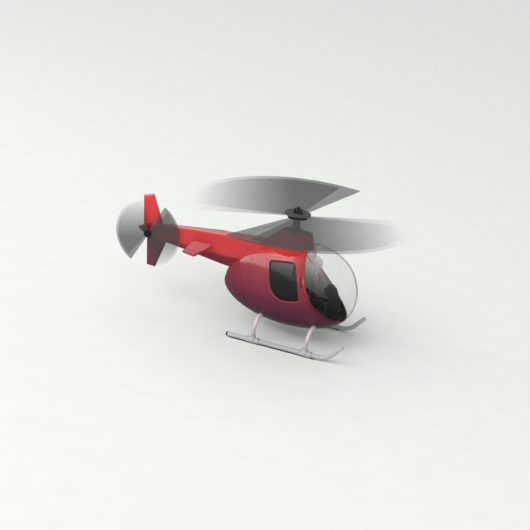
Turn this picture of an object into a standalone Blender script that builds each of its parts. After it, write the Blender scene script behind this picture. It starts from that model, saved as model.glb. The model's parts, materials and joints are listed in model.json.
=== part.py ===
"""Desktop display model of a light helicopter, 1:24, built from separate pieces.

The origin lies on the resting plane, in the middle of the model's footprint.
+X points to the nose, +Y to the left side and +Z up.  All lengths are metres.
Shapes are drawn with x = 0 on the main rotor axis and placed by MAST_PLACE.
"""
import math

import bmesh
import bpy
from mathutils import Matrix, Vector

MM = 0.001
GAP = 0.3 * MM

# The main rotor axis, ahead of the middle of the footprint
MAST_PLACE = Vector((54.5 * MM, 0.0, 0.0))

# Fuselage egg
HULL_REAR = -91.0 * MM
HULL_NOSE = 95.0 * MM
HULL_MID = 18.0 * MM
HULL_HALF_WIDTH = 46.5 * MM
HULL_CROWN = 68.0 * MM
HULL_KEEL = 51.0 * MM
WAIST_Z = 69.0 * MM
WAIST_SLOPE = 0.075
UPPER_PINCH = 0.3
UPPER_POWER = 5 / 3
LOWER_POWER = 0.95
HULL_STATIONS = 28
HULL_AROUND = 28
WALL = 1.7 * MM
COWL_SEAM = -50.0 * MM

# Windshield opening in side view, from the roof down and forward to the nose
WINDSHIELD = [(27, 150), (26.4, 138), (24.6, 127.5), (26.9, 110), (31.2, 96), (35.6, 87),
              (41.9, 78), (49, 69.2), (57.6, 60.8), (66.7, 53.6), (75, 47.8), (83, 43),
              (92, 38.6), (100, 35.4)]
FRAME_WIDTH = 3.2 * MM

# Doors, in the door plane: x forward, u up the flank
DOOR_TILT = math.radians(27.5)
DOOR_FACE = 74.0 * MM
WINDOW = [(-23.6, 85.8), (11, 89.5), (31.4, 41), (5.4, 36.4), (-8.5, 44), (-16, 57)]
DOOR = [(-28.4, 90.8), (15.7, 94.5), (36.6, 35.9), (12, 27.6), (-12, 35.8), (-22, 56)]
WINDOW_RADIUS = [4, 4, 5, 9, 12, 16]
DOOR_RADIUS = [5, 4, 3.5, 16, 16, 18]
SEAL_WIDTH = 1.4 * MM
HINGE_TOP = (15.85, 94.5)
HINGE_LOW = (36.35, 38)
HINGE_FACE = 75.5 * MM
KNUCKLE_RADIUS = 1.5 * MM
HINGE_PIN_RADIUS = 0.7 * MM
KNUCKLE_LENGTH = 3.6 * MM
STEP = 0.06 * MM

# Mast fairing outlines: x, half width
FAIRING_FOOT = [(-44, 10), (-34, 11.4), (-24, 13.6), (-12, 17.4), (0, 19.4), (10, 18.8),
                (18, 16.4), (24, 12), (27.2, 6)]
FAIRING_TOP = [(-17, 8), (-14, 9.4), (-9, 10.2), (-4, 10.6), (2, 11), (8, 11), (14, 10.4),
               (19, 9), (22.3, 5.6)]
FAIRING_TOP_Z = 148.5 * MM
FAIRING_LOW_Z = 100.0 * MM

# Tail boom sections: x, half width, top, upper edge, lower edge, keel
BOOM = [(-44.4, 10.2, 128.9, 124.0, 94, 77), (-62, 10.0, 127.7, 123.7, 93.5, 76.5),
        (-90, 9.6, 125.4, 123.0, 94.5, 77.5), (-130, 7.6, 121.6, 120.1, 98.4, 82.5),
        (-168, 5.6, 117.6, 116.2, 100, 87.5), (-205, 3.6, 113.6, 112.2, 99.2, 92)]
CONE = [(-205.4, 3.6, 113.4, 112.0, 99.2, 92.2), (-212, 3.1, 110.6, 109.4, 98.6, 93.4),
        (-219, 2.2, 107.6, 106.8, 98.8, 96.2), (-225, 1.2, 104.8, 104.2, 100.4, 99.4),
        (-227.5, 0.5, 103.2, 103.0, 101.8, 101.5)]
UPPER_FIN = [(-190, 116.0), (-205.4, 114.4), (-219.5, 110.6), (-222.7, 150.1), (-207.8, 154.9)]
LOWER_FIN = [(-183.6, 88.4), (-197.5, 49.4), (-210.3, 50.2), (-213.5, 91.4), (-205, 91.5)]
FIN_THICKNESS = 4.5 * MM
STABILISER = [(-112, 0), (-140, 0), (-137, -52), (-117, -58)]
STABILISER_Z = 103.0 * MM
STABILISER_THICKNESS = 4.0 * MM

# Landing gear
SKID_Y = 54.3 * MM
SKID_Z = 3.8 * MM
SKID_RADIUS = 3.0 * MM
SKID_REAR = -59.4 * MM
SKID_BEND_X = 68.0 * MM
SKID_BEND_RADIUS = 26.0 * MM
SKID_BEND_ANGLE = math.radians(50)
SKID_TIP = 18.0 * MM
SHOE_HALF_WIDTH = 2.2 * MM
SHOE_HEIGHT = 1.5 * MM
TUBE_RADIUS = 2.4 * MM
TUBE_STATIONS = {"rear": -23.5 * MM, "front": 50.6 * MM}
TUBE_LEG = [(54.3, 8.7), (54.2, 13), (53.2, 19), (50.6, 24.6), (46.4, 28.8), (40.6, 31.4),
            (34, 32.4), (26, 32.6)]
SADDLE_RADIUS = 4.3 * MM
SADDLE_LENGTH = 16.4 * MM
SADDLE_CUT_Z = 1.8 * MM
BOSS_RADIUS = 3.8 * MM
BOSS_TOP_Z = 11.6 * MM

# Main rotor
MAST_RADIUS = 5.5 * MM
JOURNAL_RADIUS = 4.8 * MM
BUSH_BORE = 4.86 * MM
BUSH_RADIUS = 7.5 * MM
BUSH_FLANGE = 10.0 * MM
BUSH_FLANGE_TOP = 150.6 * MM
BUSH_LOW_Z = 124.0 * MM
MAST_LOW_Z = 119.4 * MM
MAST_SHOULDER_Z = 166.9 * MM
SPIGOT_RADIUS = 2.3 * MM
SPIGOT_TOP_Z = 182.0 * MM
DISC_RADIUS = 17.7 * MM
DISC_Z = (170.8 * MM, 173.4 * MM)
CLAMP_RADIUS = 13.0 * MM
CLAMP_Z = (167.2 * MM, 168.9 * MM)
STUD_X = 4.4 * MM
STUD_RADIUS = 1.0 * MM
ROTOR_RADIUS = 150.0 * MM
ROTOR_ROOT = 7.5 * MM
CONE_START = 18.0 * MM
TIP_RISE = 6.0 * MM
BLADE_Z = 169.25 * MM
BLADE_THICKNESS = 1.2 * MM
BLADE_ANGLE = 75.5
BLADE_HALF_CHORD = (2.2, 7.2)
VANE_Z = 169.45 * MM
VANE_THICKNESS = 0.8 * MM
VANE_SWEEP = 134.0
VANE_SAG = 1.2

# Tail rotor
TAIL_HUB = Vector((-209.0 * MM, 0.0, 98.7 * MM))
TAIL_RADIUS = 48.5 * MM
TAIL_SHAFT_RADIUS = 1.5 * MM
TAIL_BORE = 1.56 * MM
TAIL_BLADE_ANGLE = 58.6
TAIL_PLANE = -8.3 * MM
TAIL_HALF_CHORD = (1.5, 3.4)
TAIL_VANE_SWEEP = 138.0

COLOURS = {
    "paint": ((0.62, 0.05, 0.06), 0.25, 0.0),
    "paint_dark": ((0.22, 0.02, 0.04), 0.3, 0.0),
    "clear": ((0.92, 0.94, 0.94), 0.05, 0.0),
    "tint": ((0.03, 0.03, 0.03), 0.08, 0.0),
    "rubber": ((0.02, 0.02, 0.02), 0.7, 0.0),
    "blade": ((0.24, 0.24, 0.24), 0.35, 0.0),
    "vane": ((0.3, 0.3, 0.3), 0.2, 0.0),
    "steel": ((0.08, 0.08, 0.08), 0.35, 0.8),
    "skid": ((0.42, 0.43, 0.42), 0.35, 0.6),
    "strut": ((0.40, 0.33, 0.34), 0.35, 0.5),
    "interior": ((0.02, 0.02, 0.02), 0.8, 0.0),
    "seat": ((0.2, 0.2, 0.2), 0.7, 0.0),
}


def clear_scene():
    for obj in list(bpy.data.objects):
        bpy.data.objects.remove(obj, do_unlink=True)


def collection(name):
    group = bpy.data.collections.new(name)
    bpy.context.scene.collection.children.link(group)
    return group


def material(name):
    found = bpy.data.materials.get(name)
    if found:
        return found
    colour, roughness, metallic = COLOURS[name]
    made = bpy.data.materials.new(name)
    made.use_nodes = True
    shader = made.node_tree.nodes["Principled BSDF"]
    shader.inputs["Base Color"].default_value = (*colour, 1.0)
    shader.inputs["Roughness"].default_value = roughness
    shader.inputs["Metallic"].default_value = metallic
    return made


def add(name, mesh, paint, pivot=(0, 0, 0)):
    """Place a piece; a moving piece has its origin on its joint's axis."""
    mesh.transform(Matrix.Translation(-Vector(pivot)))
    obj = bpy.data.objects.new(name, mesh)
    PARTS.objects.link(obj)
    obj.location = MAST_PLACE + Vector(pivot)
    obj.data.materials.clear()
    obj.data.materials.append(material(paint))
    return obj


def cutter(name, mesh):
    obj = bpy.data.objects.new(name, mesh)
    CUTTERS.objects.link(obj)
    obj.location = MAST_PLACE
    obj.hide_render = True
    obj.display_type = "WIRE"
    return obj


def boolean(obj, tool, operation="DIFFERENCE"):
    mod = obj.modifiers.new(operation.title(), "BOOLEAN")
    mod.operation = operation
    mod.solver = "EXACT"
    mod.object = tool


def smooth(obj, degrees=35):
    obj.data.shade_smooth()
    obj.data.set_sharp_from_angle(angle=math.radians(degrees))


def finish_mesh(name, work):
    bmesh.ops.recalc_face_normals(work, faces=work.faces)
    mesh = bpy.data.meshes.new(name)
    work.to_mesh(mesh)
    work.free()
    return mesh


def box_mesh(name, low, high):
    work = bmesh.new()
    bmesh.ops.create_cube(work, size=1.0)
    low = Vector(low)
    high = Vector(high)
    size = high - low
    for vert in work.verts:
        vert.co = Vector([a * b for a, b in zip(vert.co, size)]) + (low + high) / 2
    return finish_mesh(name, work)


def cylinder_mesh(name, radius, start, end, segments=20):
    work = bmesh.new()
    start = Vector(start)
    end = Vector(end)
    length = (end - start).length
    turn = Vector((0, 0, 1)).rotation_difference(end - start).to_matrix().to_4x4()
    place = Matrix.Translation((start + end) / 2) @ turn
    bmesh.ops.create_cone(work, cap_ends=True, segments=segments, radius1=radius,
                          radius2=radius, depth=length, matrix=place)
    return finish_mesh(name, work)


def loft_mesh(name, rings):
    """Join closed rings of equal length; a ring of one point closes to a pole."""
    work = bmesh.new()
    rows = [[work.verts.new(point) for point in ring] for ring in rings]
    count = max(len(row) for row in rows)
    for first, second in zip(rows[:-1], rows[1:]):
        for index in range(count):
            following = (index + 1) % count
            if len(first) == 1:
                work.faces.new((first[0], second[index], second[following]))
            elif len(second) == 1:
                work.faces.new((first[index], second[0], first[following]))
            else:
                work.faces.new((first[index], second[index],
                                second[following], first[following]))
    for row in (rows[0], rows[-1]):
        if len(row) > 2:
            work.faces.new(row)
    return finish_mesh(name, work)


def turned(name, profile, steps=32):
    """Screw a closed profile of (radius, z) points about the Z axis."""
    mesh = bpy.data.meshes.new(name)
    edges = [(index, index + 1) for index in range(len(profile) - 1)]
    if profile[0][0] > 0:
        edges.append((len(profile) - 1, 0))
    mesh.from_pydata([(radius, 0, z) for radius, z in profile], edges, [])
    holder = bpy.data.objects.new(name, mesh)
    CUTTERS.objects.link(holder)
    mod = holder.modifiers.new("Screw", "SCREW")
    mod.angle = math.tau
    mod.steps = steps
    mod.render_steps = steps
    mod.use_merge_vertices = True
    mod.merge_threshold = 0.00001
    return baked(holder)


def baked(holder):
    """Return the evaluated mesh of a helper object, welded, and remove the helper."""
    graph = bpy.context.evaluated_depsgraph_get()
    mesh = bpy.data.meshes.new_from_object(holder.evaluated_get(graph))
    mesh.transform(holder.matrix_world)
    bpy.data.objects.remove(holder, do_unlink=True)
    work = bmesh.new()
    work.from_mesh(mesh)
    bmesh.ops.remove_doubles(work, verts=work.verts, dist=0.000005)
    bmesh.ops.recalc_face_normals(work, faces=work.faces)
    work.to_mesh(mesh)
    work.free()
    return mesh


def outline_mesh(name, points, half_depth, place):
    """Flat outline in its own plane, thickened both ways and put in place."""
    curve = bpy.data.curves.new(name, "CURVE")
    curve.dimensions = "2D"
    curve.fill_mode = "BOTH"
    curve.extrude = half_depth
    spline = curve.splines.new("POLY")
    spline.points.add(len(points) - 1)
    for point, (x, y) in zip(spline.points, points):
        point.co = (x, y, 0, 1)
    spline.use_cyclic_u = True
    holder = bpy.data.objects.new(name, curve)
    CUTTERS.objects.link(holder)
    holder.matrix_world = place
    bpy.context.view_layer.update()
    return baked(holder)


def tube_mesh(name, points, radius):
    curve = bpy.data.curves.new(name, "CURVE")
    curve.dimensions = "3D"
    curve.bevel_depth = radius
    curve.bevel_resolution = 2
    curve.use_fill_caps = True
    spline = curve.splines.new("POLY")
    spline.points.add(len(points) - 1)
    for point, place in zip(spline.points, points):
        point.co = (*place, 1)
    holder = bpy.data.objects.new(name, curve)
    CUTTERS.objects.link(holder)
    bpy.context.view_layer.update()
    return baked(holder)


def rounded(points, radii, steps=4):
    """Replace each corner of a closed outline by an arc-like curve."""
    result = []
    count = len(points)
    for index in range(count):
        here = Vector(points[index])
        before = Vector(points[index - 1])
        after = Vector(points[(index + 1) % count])
        reach = radii[index]
        enter = here + (before - here).normalized() * min(reach, (before - here).length * 0.49)
        leave = here + (after - here).normalized() * min(reach, (after - here).length * 0.49)
        for step in range(steps + 1):
            t = step / steps
            result.append(tuple(enter * (1 - t) ** 2 + here * 2 * t * (1 - t) + leave * t * t))
    return result


def offset(points, distance, closed=True):
    """Move an outline to its left by distance."""
    result = []
    count = len(points)
    for index in range(count):
        before = Vector(points[index - 1]) if closed or index else None
        after = Vector(points[(index + 1) % count]) if closed or index < count - 1 else None
        here = Vector(points[index])
        before = before or here * 2 - after
        after = after or here * 2 - before
        first = (here - before).normalized()
        second = (after - here).normalized()
        normal = Vector((-first.y - second.y, first.x + second.x)).normalized()
        scale = distance / max(0.4, normal.dot(Vector((-first.y, first.x))))
        result.append(tuple(here + normal * scale))
    return result


def taper(x, rear_power, front_power):
    span = HULL_MID - HULL_REAR if x < HULL_MID else HULL_NOSE - HULL_MID
    power = rear_power if x < HULL_MID else front_power
    reach = min(abs(x - HULL_MID) / span, 1.0)
    return max(0.0, 1 - reach ** power) ** (1 / power)


def hull_ring(x):
    """One closed section of the egg; narrow and pear-shaped above the waist."""
    width = HULL_HALF_WIDTH * taper(x, 2.0, 2.4)
    crown = HULL_CROWN * taper(x, 1.9, 2.15)
    keel = HULL_KEEL * taper(x, 1.75, 2.6)
    waist = WAIST_Z + WAIST_SLOPE * (x - HULL_MID)
    ring = []
    for index in range(HULL_AROUND):
        angle = math.tau * index / HULL_AROUND
        across = math.cos(angle)
        up = math.sin(angle)
        if up > 0:
            side = across * (1 - UPPER_PINCH * up * up)
            rise = crown * up ** UPPER_POWER
        else:
            side = math.copysign(abs(across) ** LOWER_POWER, across)
            rise = -keel * (-up) ** LOWER_POWER
        ring.append((x, width * side, waist + rise))
    return ring


def hull_mesh(name, grow=0.0):
    """The egg as a closed solid, moved out along its normals by grow."""
    rings = []
    for index in range(HULL_STATIONS + 1):
        phase = math.pi * index / HULL_STATIONS
        spread = -math.cos(phase)
        half = HULL_MID - HULL_REAR if spread < 0 else HULL_NOSE - HULL_MID
        x = HULL_MID + spread * half
        ring = hull_ring(x)
        rings.append(ring if 0 < index < HULL_STATIONS else [ring[0][:1] + (0.0, ring[0][2])])
    mesh = loft_mesh(name, rings)
    if grow:
        work = bmesh.new()
        work.from_mesh(mesh)
        work.normal_update()
        for vert, normal in [(vert, vert.normal.copy()) for vert in work.verts]:
            vert.co += normal * grow
        work.to_mesh(mesh)
        work.free()
    return mesh


def side_prism(name, forward):
    """Everything ahead of the windshield line, moved forward by a distance."""
    line = offset(WINDSHIELD, forward / MM, closed=False)
    points = [(x * MM, -z * MM) for x, z in line]
    points = points + [(0.14, points[-1][1]), (0.14, -0.2), (points[0][0], -0.2)]
    place = Matrix(((1, 0, 0, 0), (0, 0, 1, 0), (0, -1, 0, 0), (0, 0, 0, 1)))
    return outline_mesh(name, points, 0.08, place)


def door_frame(side):
    """Matrix from the door plane to the model: x forward, u up the flank, n outwards."""
    up = Vector((0, -side * math.sin(DOOR_TILT), math.cos(DOOR_TILT)))
    out = Vector((0, side * math.cos(DOOR_TILT), math.sin(DOOR_TILT)))
    return Matrix(((1, 0, 0, 0), (0, up.y, out.y, 0), (0, up.z, out.z, 0), (0, 0, 0, 1)))


def door_prism(name, points, radii, grow, side):
    shape = offset(rounded(points, radii), grow / MM)
    shape = [(x * MM, u * MM) for x, u in shape]
    place = door_frame(side) @ Matrix.Translation((0, 0, DOOR_FACE))
    return outline_mesh(name, shape, 11 * MM, place)


def hinge_line(side, along):
    """Point on the door's hinge axis at a signed distance from its middle."""
    top = Vector((HINGE_TOP[0] * MM, HINGE_TOP[1] * MM, HINGE_FACE))
    low = Vector((HINGE_LOW[0] * MM, HINGE_LOW[1] * MM, HINGE_FACE))
    point = (top + low) / 2 + (top - low).normalized() * along
    return door_frame(side) @ point


def knuckle(name, side, first, last, radius):
    return cylinder_mesh(name, radius, hinge_line(side, first), hinge_line(side, last), 16)


def make_doors(side, word, shell):
    """Door skin, seal, pane and hinge; cuts the opening in the shell."""
    tools = {}
    for key, grow in (("gap", GAP), ("edge", 0.0)):
        tools[key] = cutter(f"door_{key}_{word}", door_prism(key, DOOR, DOOR_RADIUS, grow, side))
    for key, inset in (("hole", 0.0), ("seal", GAP), ("light", SEAL_WIDTH),
                       ("pane", SEAL_WIDTH + GAP)):
        shape = door_prism(key, WINDOW, WINDOW_RADIUS, -inset, side)
        tools[key] = cutter(f"window_{key}_{word}", shape)
    half = KNUCKLE_LENGTH / 2
    outer = half + GAP + KNUCKLE_LENGTH
    clear = KNUCKLE_RADIUS + GAP
    rad = KNUCKLE_RADIUS
    mid = cutter(f"knuckle_mid_{word}", knuckle("mid", side, -half, half, rad))
    mid_cut = cutter(f"knuckle_mid_cut_{word}",
                     knuckle("mid_cut", side, -half - GAP, half + GAP, clear))
    bore = cutter(f"hinge_bore_{word}", knuckle("bore", side, -outer - GAP, outer + GAP, 0.76 * MM))
    boolean(shell, tools["gap"])
    boolean(shell, mid_cut)
    pivot = hinge_line(side, 0.0)
    door = add(f"door_{word}", hull_mesh("door"), "paint", pivot)
    boolean(door, tools["edge"], "INTERSECT")
    boolean(door, CORE)
    boolean(door, tools["hole"])
    for sign, end in ((1, "upper"), (-1, "lower")):
        barrel = cutter(f"knuckle_{end}_{word}",
                        knuckle(end, side, sign * (half + GAP + STEP), sign * outer, rad))
        notch = cutter(f"knuckle_{end}_cut_{word}",
                       knuckle(end, side, sign * (half + STEP), sign * (outer + GAP), clear))
        boolean(shell, barrel, "UNION")
        boolean(door, notch)
    boolean(door, mid, "UNION")
    boolean(door, bore)
    boolean(shell, bore)
    smooth(door)
    seal = add(f"door_window_seal_{word}", hull_mesh("seal"), "rubber", pivot)
    boolean(seal, tools["seal"], "INTERSECT")
    boolean(seal, CORE)
    boolean(seal, tools["light"])
    pane = add(f"door_window_{word}", hull_mesh("pane"), "tint", pivot)
    boolean(pane, tools["pane"], "INTERSECT")
    boolean(pane, CORE)
    for piece in (seal, pane):
        smooth(piece)
    pin = knuckle("pin", side, -outer, outer, HINGE_PIN_RADIUS)
    smooth(add(f"door_hinge_pin_{word}", pin, "steel"))


def leg_points(x, side_sign=1):
    right = [(x, -y * MM, z * MM) for y, z in TUBE_LEG]
    left = [(x, y * MM, z * MM) for y, z in reversed(TUBE_LEG)]
    return right + left


def make_hull():
    tubes = []
    for word, x in TUBE_STATIONS.items():
        shape = tube_mesh("hole", leg_points(x), TUBE_RADIUS + GAP)
        tubes.append(cutter(f"tube_hole_{word}", shape))
    bore = cylinder_mesh("mast_hole", BUSH_RADIUS + GAP, (0, 0, 0.11), (0, 0, 0.16), 32)
    mast_hole = cutter("mast_hole", bore)
    opening = cutter("windshield_opening", side_prism("opening", -FRAME_WIDTH - 2 * GAP))
    for word, side in (("right", -1), ("left", 1)):
        edge = side * GAP / 2
        far = side * 0.08
        low = (COWL_SEAM + GAP / 2, min(edge, far), -0.02)
        high = (0.13, max(edge, far), 0.17)
        half = cutter(f"half_{word}", box_mesh("half", low, high))
        shell = add(f"cabin_shell_{word}", hull_mesh("shell"), "paint")
        boolean(shell, half, "INTERSECT")
        boolean(shell, CORE)
        boolean(shell, opening)
        for tool in tubes + [mast_hole]:
            boolean(shell, tool)
        make_doors(side, word, shell)
        smooth(shell)
    rear = box_mesh("rear", (-0.12, -0.08, -0.02), (COWL_SEAM - GAP / 2, 0.08, 0.17))
    cowl = add("engine_cowl", hull_mesh("cowl"), "paint")
    boolean(cowl, cutter("rear_half", rear), "INTERSECT")
    boolean(cowl, CORE)
    smooth(cowl)


def make_windshield():
    frame = add("windshield_frame", hull_mesh("frame"), "paint")
    boolean(frame, cutter("frame_outer", side_prism("a", -FRAME_WIDTH - GAP)), "INTERSECT")
    boolean(frame, CORE)
    boolean(frame, cutter("frame_inner", side_prism("b", -GAP)))
    smooth(frame)
    bubble = add("windshield_bubble", hull_mesh("bubble"), "clear")
    boolean(bubble, cutter("bubble_edge", side_prism("c", 0.0)), "INTERSECT")
    boolean(bubble, CORE)
    smooth(bubble, 50)


def outline_ring(stations, height):
    right = [(x * MM, -y * MM, height(x)) for x, y in stations]
    left = [(x * MM, y * MM, height(x)) for x, y in reversed(stations)]
    return right + left


def make_fairing():
    rings = [outline_ring(FAIRING_FOOT, lambda x: FAIRING_LOW_Z),
             outline_ring(FAIRING_FOOT, lambda x: (123.9 + 0.085 * (x + 42)) * MM),
             outline_ring(FAIRING_TOP, lambda x: FAIRING_TOP_Z)]
    fairing = add("mast_fairing", loft_mesh("fairing", rings), "paint")
    boolean(fairing, SKIN)
    bore = cylinder_mesh("bore", BUSH_RADIUS + GAP, (0, 0, 0.09), (0, 0, 0.16), 32)
    boolean(fairing, cutter("fairing_bore", bore))
    smooth(fairing, 40)


def boom_ring(section):
    x, half, top, upper, lower, keel = [value * MM for value in section]
    right = [(x, -half * 0.25, top), (x, -half, upper), (x, -half, lower), (x, -half * 0.3, keel)]
    return right + [(x, -y, z) for x, y, z in reversed(right)]


def make_tail():
    boom = add("tail_boom", loft_mesh("boom", [boom_ring(row) for row in BOOM]), "paint")
    boolean(boom, SKIN)
    cone = add("tail_cone", loft_mesh("cone", [boom_ring(row) for row in CONE]), "paint_dark")
    low = TAIL_HUB + Vector((0, -0.01, 0))
    high = TAIL_HUB + Vector((0, 0.01, 0))
    boolean(cone, cutter("tail_bore", cylinder_mesh("bore", TAIL_BORE, low, high, 24)))
    upright = Matrix(((1, 0, 0, 0), (0, 0, -1, 0), (0, 1, 0, 0), (0, 0, 0, 1)))
    for name, points in (("upper_fin", UPPER_FIN), ("lower_fin", LOWER_FIN)):
        shape = [(x * MM, z * MM) for x, z in points]
        fin = add(name, outline_mesh(name, shape, FIN_THICKNESS / 2, upright), "paint")
        bevel(fin, 0.8 * MM, 1)
    level = Matrix.Translation((0, 0, STABILISER_Z))
    grown = [(x, half + GAP / MM, top, upper, lower, keel)
             for x, half, top, upper, lower, keel in BOOM]
    sides = cutter("boom_sides", loft_mesh("sides", [boom_ring(row) for row in grown]))
    for word, sign in (("right", 1), ("left", -1)):
        shape = [(x * MM, y * sign * MM) for x, y in STABILISER]
        name = f"stabiliser_{word}"
        wing = add(name, outline_mesh(name, shape, STABILISER_THICKNESS / 2, level), "paint")
        bevel(wing, 0.6 * MM, 1)
        boolean(wing, sides)


def bevel(obj, width, segments):
    mod = obj.modifiers.new("Bevel", "BEVEL")
    mod.width = width
    mod.segments = segments
    mod.limit_method = "ANGLE"
    mod.angle_limit = math.radians(40)


def skid_points(y):
    points = [(SKID_REAR, y, SKID_Z), (SKID_BEND_X, y, SKID_Z)]
    for step in range(1, 7):
        angle = SKID_BEND_ANGLE * step / 6
        points.append((SKID_BEND_X + SKID_BEND_RADIUS * math.sin(angle), y,
                       SKID_Z + SKID_BEND_RADIUS * (1 - math.cos(angle))))
    x, y, z = points[-1]
    points.append((x + SKID_TIP * math.cos(SKID_BEND_ANGLE), y,
                   z + SKID_TIP * math.sin(SKID_BEND_ANGLE)))
    return points


def make_skid(word, side):
    y = side * SKID_Y
    smooth(add(f"skid_tube_{word}", tube_mesh("skid", skid_points(y), SKID_RADIUS), "skid"))
    ends = ((-0.08, y, SKID_Z), (0.09, y, SKID_Z))
    groove = cutter(f"skid_groove_{word}", cylinder_mesh("g", SKID_RADIUS + GAP, *ends))
    low = (SKID_REAR + 3 * MM, y - SHOE_HALF_WIDTH, 0)
    high = (SKID_BEND_X - 3 * MM, y + SHOE_HALF_WIDTH, SHOE_HEIGHT)
    shoe = add(f"skid_shoe_{word}", box_mesh("shoe", low, high), "rubber")
    boolean(shoe, groove)
    cap_end = SKID_REAR - GAP
    cap = cylinder_mesh("cap", SKID_RADIUS, (cap_end - 1.6 * MM, y, SKID_Z), (cap_end, y, SKID_Z))
    end = add(f"skid_end_cap_{word}", cap, "rubber")
    bevel(end, 0.6 * MM, 1)
    smooth(end)
    for place, x in TUBE_STATIONS.items():
        half = SADDLE_LENGTH / 2
        body = cylinder_mesh("saddle", SADDLE_RADIUS, (x - half, y, SKID_Z), (x + half, y, SKID_Z))
        saddle = add(f"skid_saddle_{place}_{word}", body, "skid")
        boss = cylinder_mesh("boss", BOSS_RADIUS, (x, y, 5 * MM), (x, y, BOSS_TOP_Z))
        boolean(saddle, cutter(f"boss_{place}_{word}", boss), "UNION")
        boolean(saddle, groove)
        socket = cylinder_mesh("socket", TUBE_RADIUS + GAP, (x, y, 8.4 * MM), (x, y, 0.02))
        boolean(saddle, cutter(f"socket_{place}_{word}", socket))
        below = box_mesh("below", (x - 0.02, y - 0.01, -0.02), (x + 0.02, y + 0.01, SADDLE_CUT_Z))
        boolean(saddle, cutter(f"below_{place}_{word}", below))
        smooth(saddle)


def make_gear():
    for word, side in (("right", -1), ("left", 1)):
        make_skid(word, side)
    for word, x in TUBE_STATIONS.items():
        tube = add(f"cross_tube_{word}", tube_mesh("tube", leg_points(x), TUBE_RADIUS), "strut")
        smooth(tube)


def trimmed(name, mesh, paint):
    piece = add(name, mesh, paint)
    boolean(piece, LINING, "INTERSECT")
    return piece


def make_interior():
    floor = box_mesh("floor", (-27.5 * MM, -0.06, 37 * MM), (0.082, 0.06, 39.6 * MM))
    trimmed("cabin_floor", floor, "interior")
    wall = box_mesh("wall", (-31 * MM, -0.06, 40 * MM), (-28.6 * MM, 0.06, 110 * MM))
    trimmed("rear_bulkhead", wall, "interior")
    for word, side in (("right", -1), ("left", 1)):
        make_seat(word, side * 16 * MM)
    shape = [(62, 40), (72, 40), (75, 50), (69.5, 66), (65, 78), (59, 83), (52.5, 81.5), (54, 75.5),
             (60.5, 68.5), (62.5, 56)]
    upright = Matrix(((1, 0, 0, 0), (0, 0, -1, 0), (0, 1, 0, 0), (0, 0, 0, 1)))
    points = [(x * MM, z * MM) for x, z in shape]
    console = trimmed("instrument_console", outline_mesh("c", points, 8 * MM, upright), "interior")
    bevel(console, 0.8 * MM, 1)
    grip = [(61 * MM, -16 * MM, 40 * MM), (62 * MM, -16 * MM, 47 * MM),
            (59 * MM, -16 * MM, 56 * MM), (57.5 * MM, -16 * MM, 65 * MM)]
    smooth(add("cyclic_stick", tube_mesh("stick", grip, 1.1 * MM), "interior"))


def make_seat(word, y):
    """A bucket seat seen from the side, as one moulded piece."""
    side = [(24, 40), (55, 40), (58, 48), (55, 54), (35, 52), (31, 92), (37, 100), (38, 110),
            (33, 114), (27, 111), (25, 98), (23, 58)]
    upright = Matrix(((1, 0, 0, 0), (0, 0, -1, y), (0, 1, 0, 0), (0, 0, 0, 1)))
    points = [(x * MM, z * MM) for x, z in side]
    seat = trimmed(f"seat_{word}", outline_mesh("seat", points, 9.5 * MM, upright), "seat")
    bevel(seat, 1.2 * MM, 1)


def make_mast():
    bush = [(BUSH_BORE, BUSH_FLANGE_TOP), (BUSH_FLANGE, BUSH_FLANGE_TOP),
            (BUSH_FLANGE, FAIRING_TOP_Z + GAP), (BUSH_RADIUS, FAIRING_TOP_Z + GAP),
            (BUSH_RADIUS, BUSH_LOW_Z), (BUSH_BORE, BUSH_LOW_Z)]
    smooth(add("mast_bush", turned("bush", bush), "steel"))
    step = BUSH_FLANGE_TOP + GAP
    shaft = [(0, SPIGOT_TOP_Z), (SPIGOT_RADIUS, SPIGOT_TOP_Z), (SPIGOT_RADIUS, MAST_SHOULDER_Z),
             (MAST_RADIUS, MAST_SHOULDER_Z), (MAST_RADIUS, step), (JOURNAL_RADIUS, step),
             (JOURNAL_RADIUS, MAST_LOW_Z), (0, MAST_LOW_Z)]
    smooth(add("mast_shaft", turned("shaft", shaft), "steel"))
    top = BUSH_LOW_Z - GAP
    stop = [(JOURNAL_RADIUS + GAP, top), (8 * MM, top), (8 * MM, top - 2.6 * MM),
            (JOURNAL_RADIUS + GAP, top - 2.6 * MM)]
    smooth(add("mast_stop_collar", turned("stop", stop, 24), "steel"))


def ring_plate(name, radius, levels, paint):
    bore = SPIGOT_RADIUS + GAP
    profile = [(bore, levels[1]), (radius, levels[1]), (radius, levels[0]), (bore, levels[0])]
    plate = add(name, turned(name, profile, 32), paint)
    for word, x in (("front", STUD_X), ("rear", -STUD_X)):
        hole = cylinder_mesh("hole", STUD_RADIUS + GAP, (x, 0, 0.16), (x, 0, 0.18), 16)
        boolean(plate, cutter(f"{name}_hole_{word}", hole))
    smooth(plate)


def rise(radius):
    return TIP_RISE * max(0.0, radius - CONE_START) / (ROTOR_RADIUS - CONE_START)


def sagged(mesh, lead):
    """Let a coned disc sink back towards flat with the angle behind the blade at lead."""
    for vertex in mesh.vertices:
        behind = math.atan2(vertex.co.y, vertex.co.x) - math.radians(lead)
        lost = VANE_SAG * ((1 - math.cos(behind)) / 2) ** 2
        vertex.co.z -= lost * rise(vertex.co.xy.length)
    return mesh


def blade_mesh(name, stations, thickness, place):
    """Tapered flat blade along local +X; stations are (x, half chord, z)."""
    rings = []
    for x, half, z in stations:
        nose = thickness * 0.25
        rings.append([(x, -half, z + nose), (x, -half * 0.6, z), (x, half, z + nose),
                      (x, half, z + thickness - nose), (x, -half * 0.6, z + thickness),
                      (x, -half, z + thickness - nose)])
    mesh = loft_mesh(name, rings)
    mesh.transform(place)
    return mesh


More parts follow.
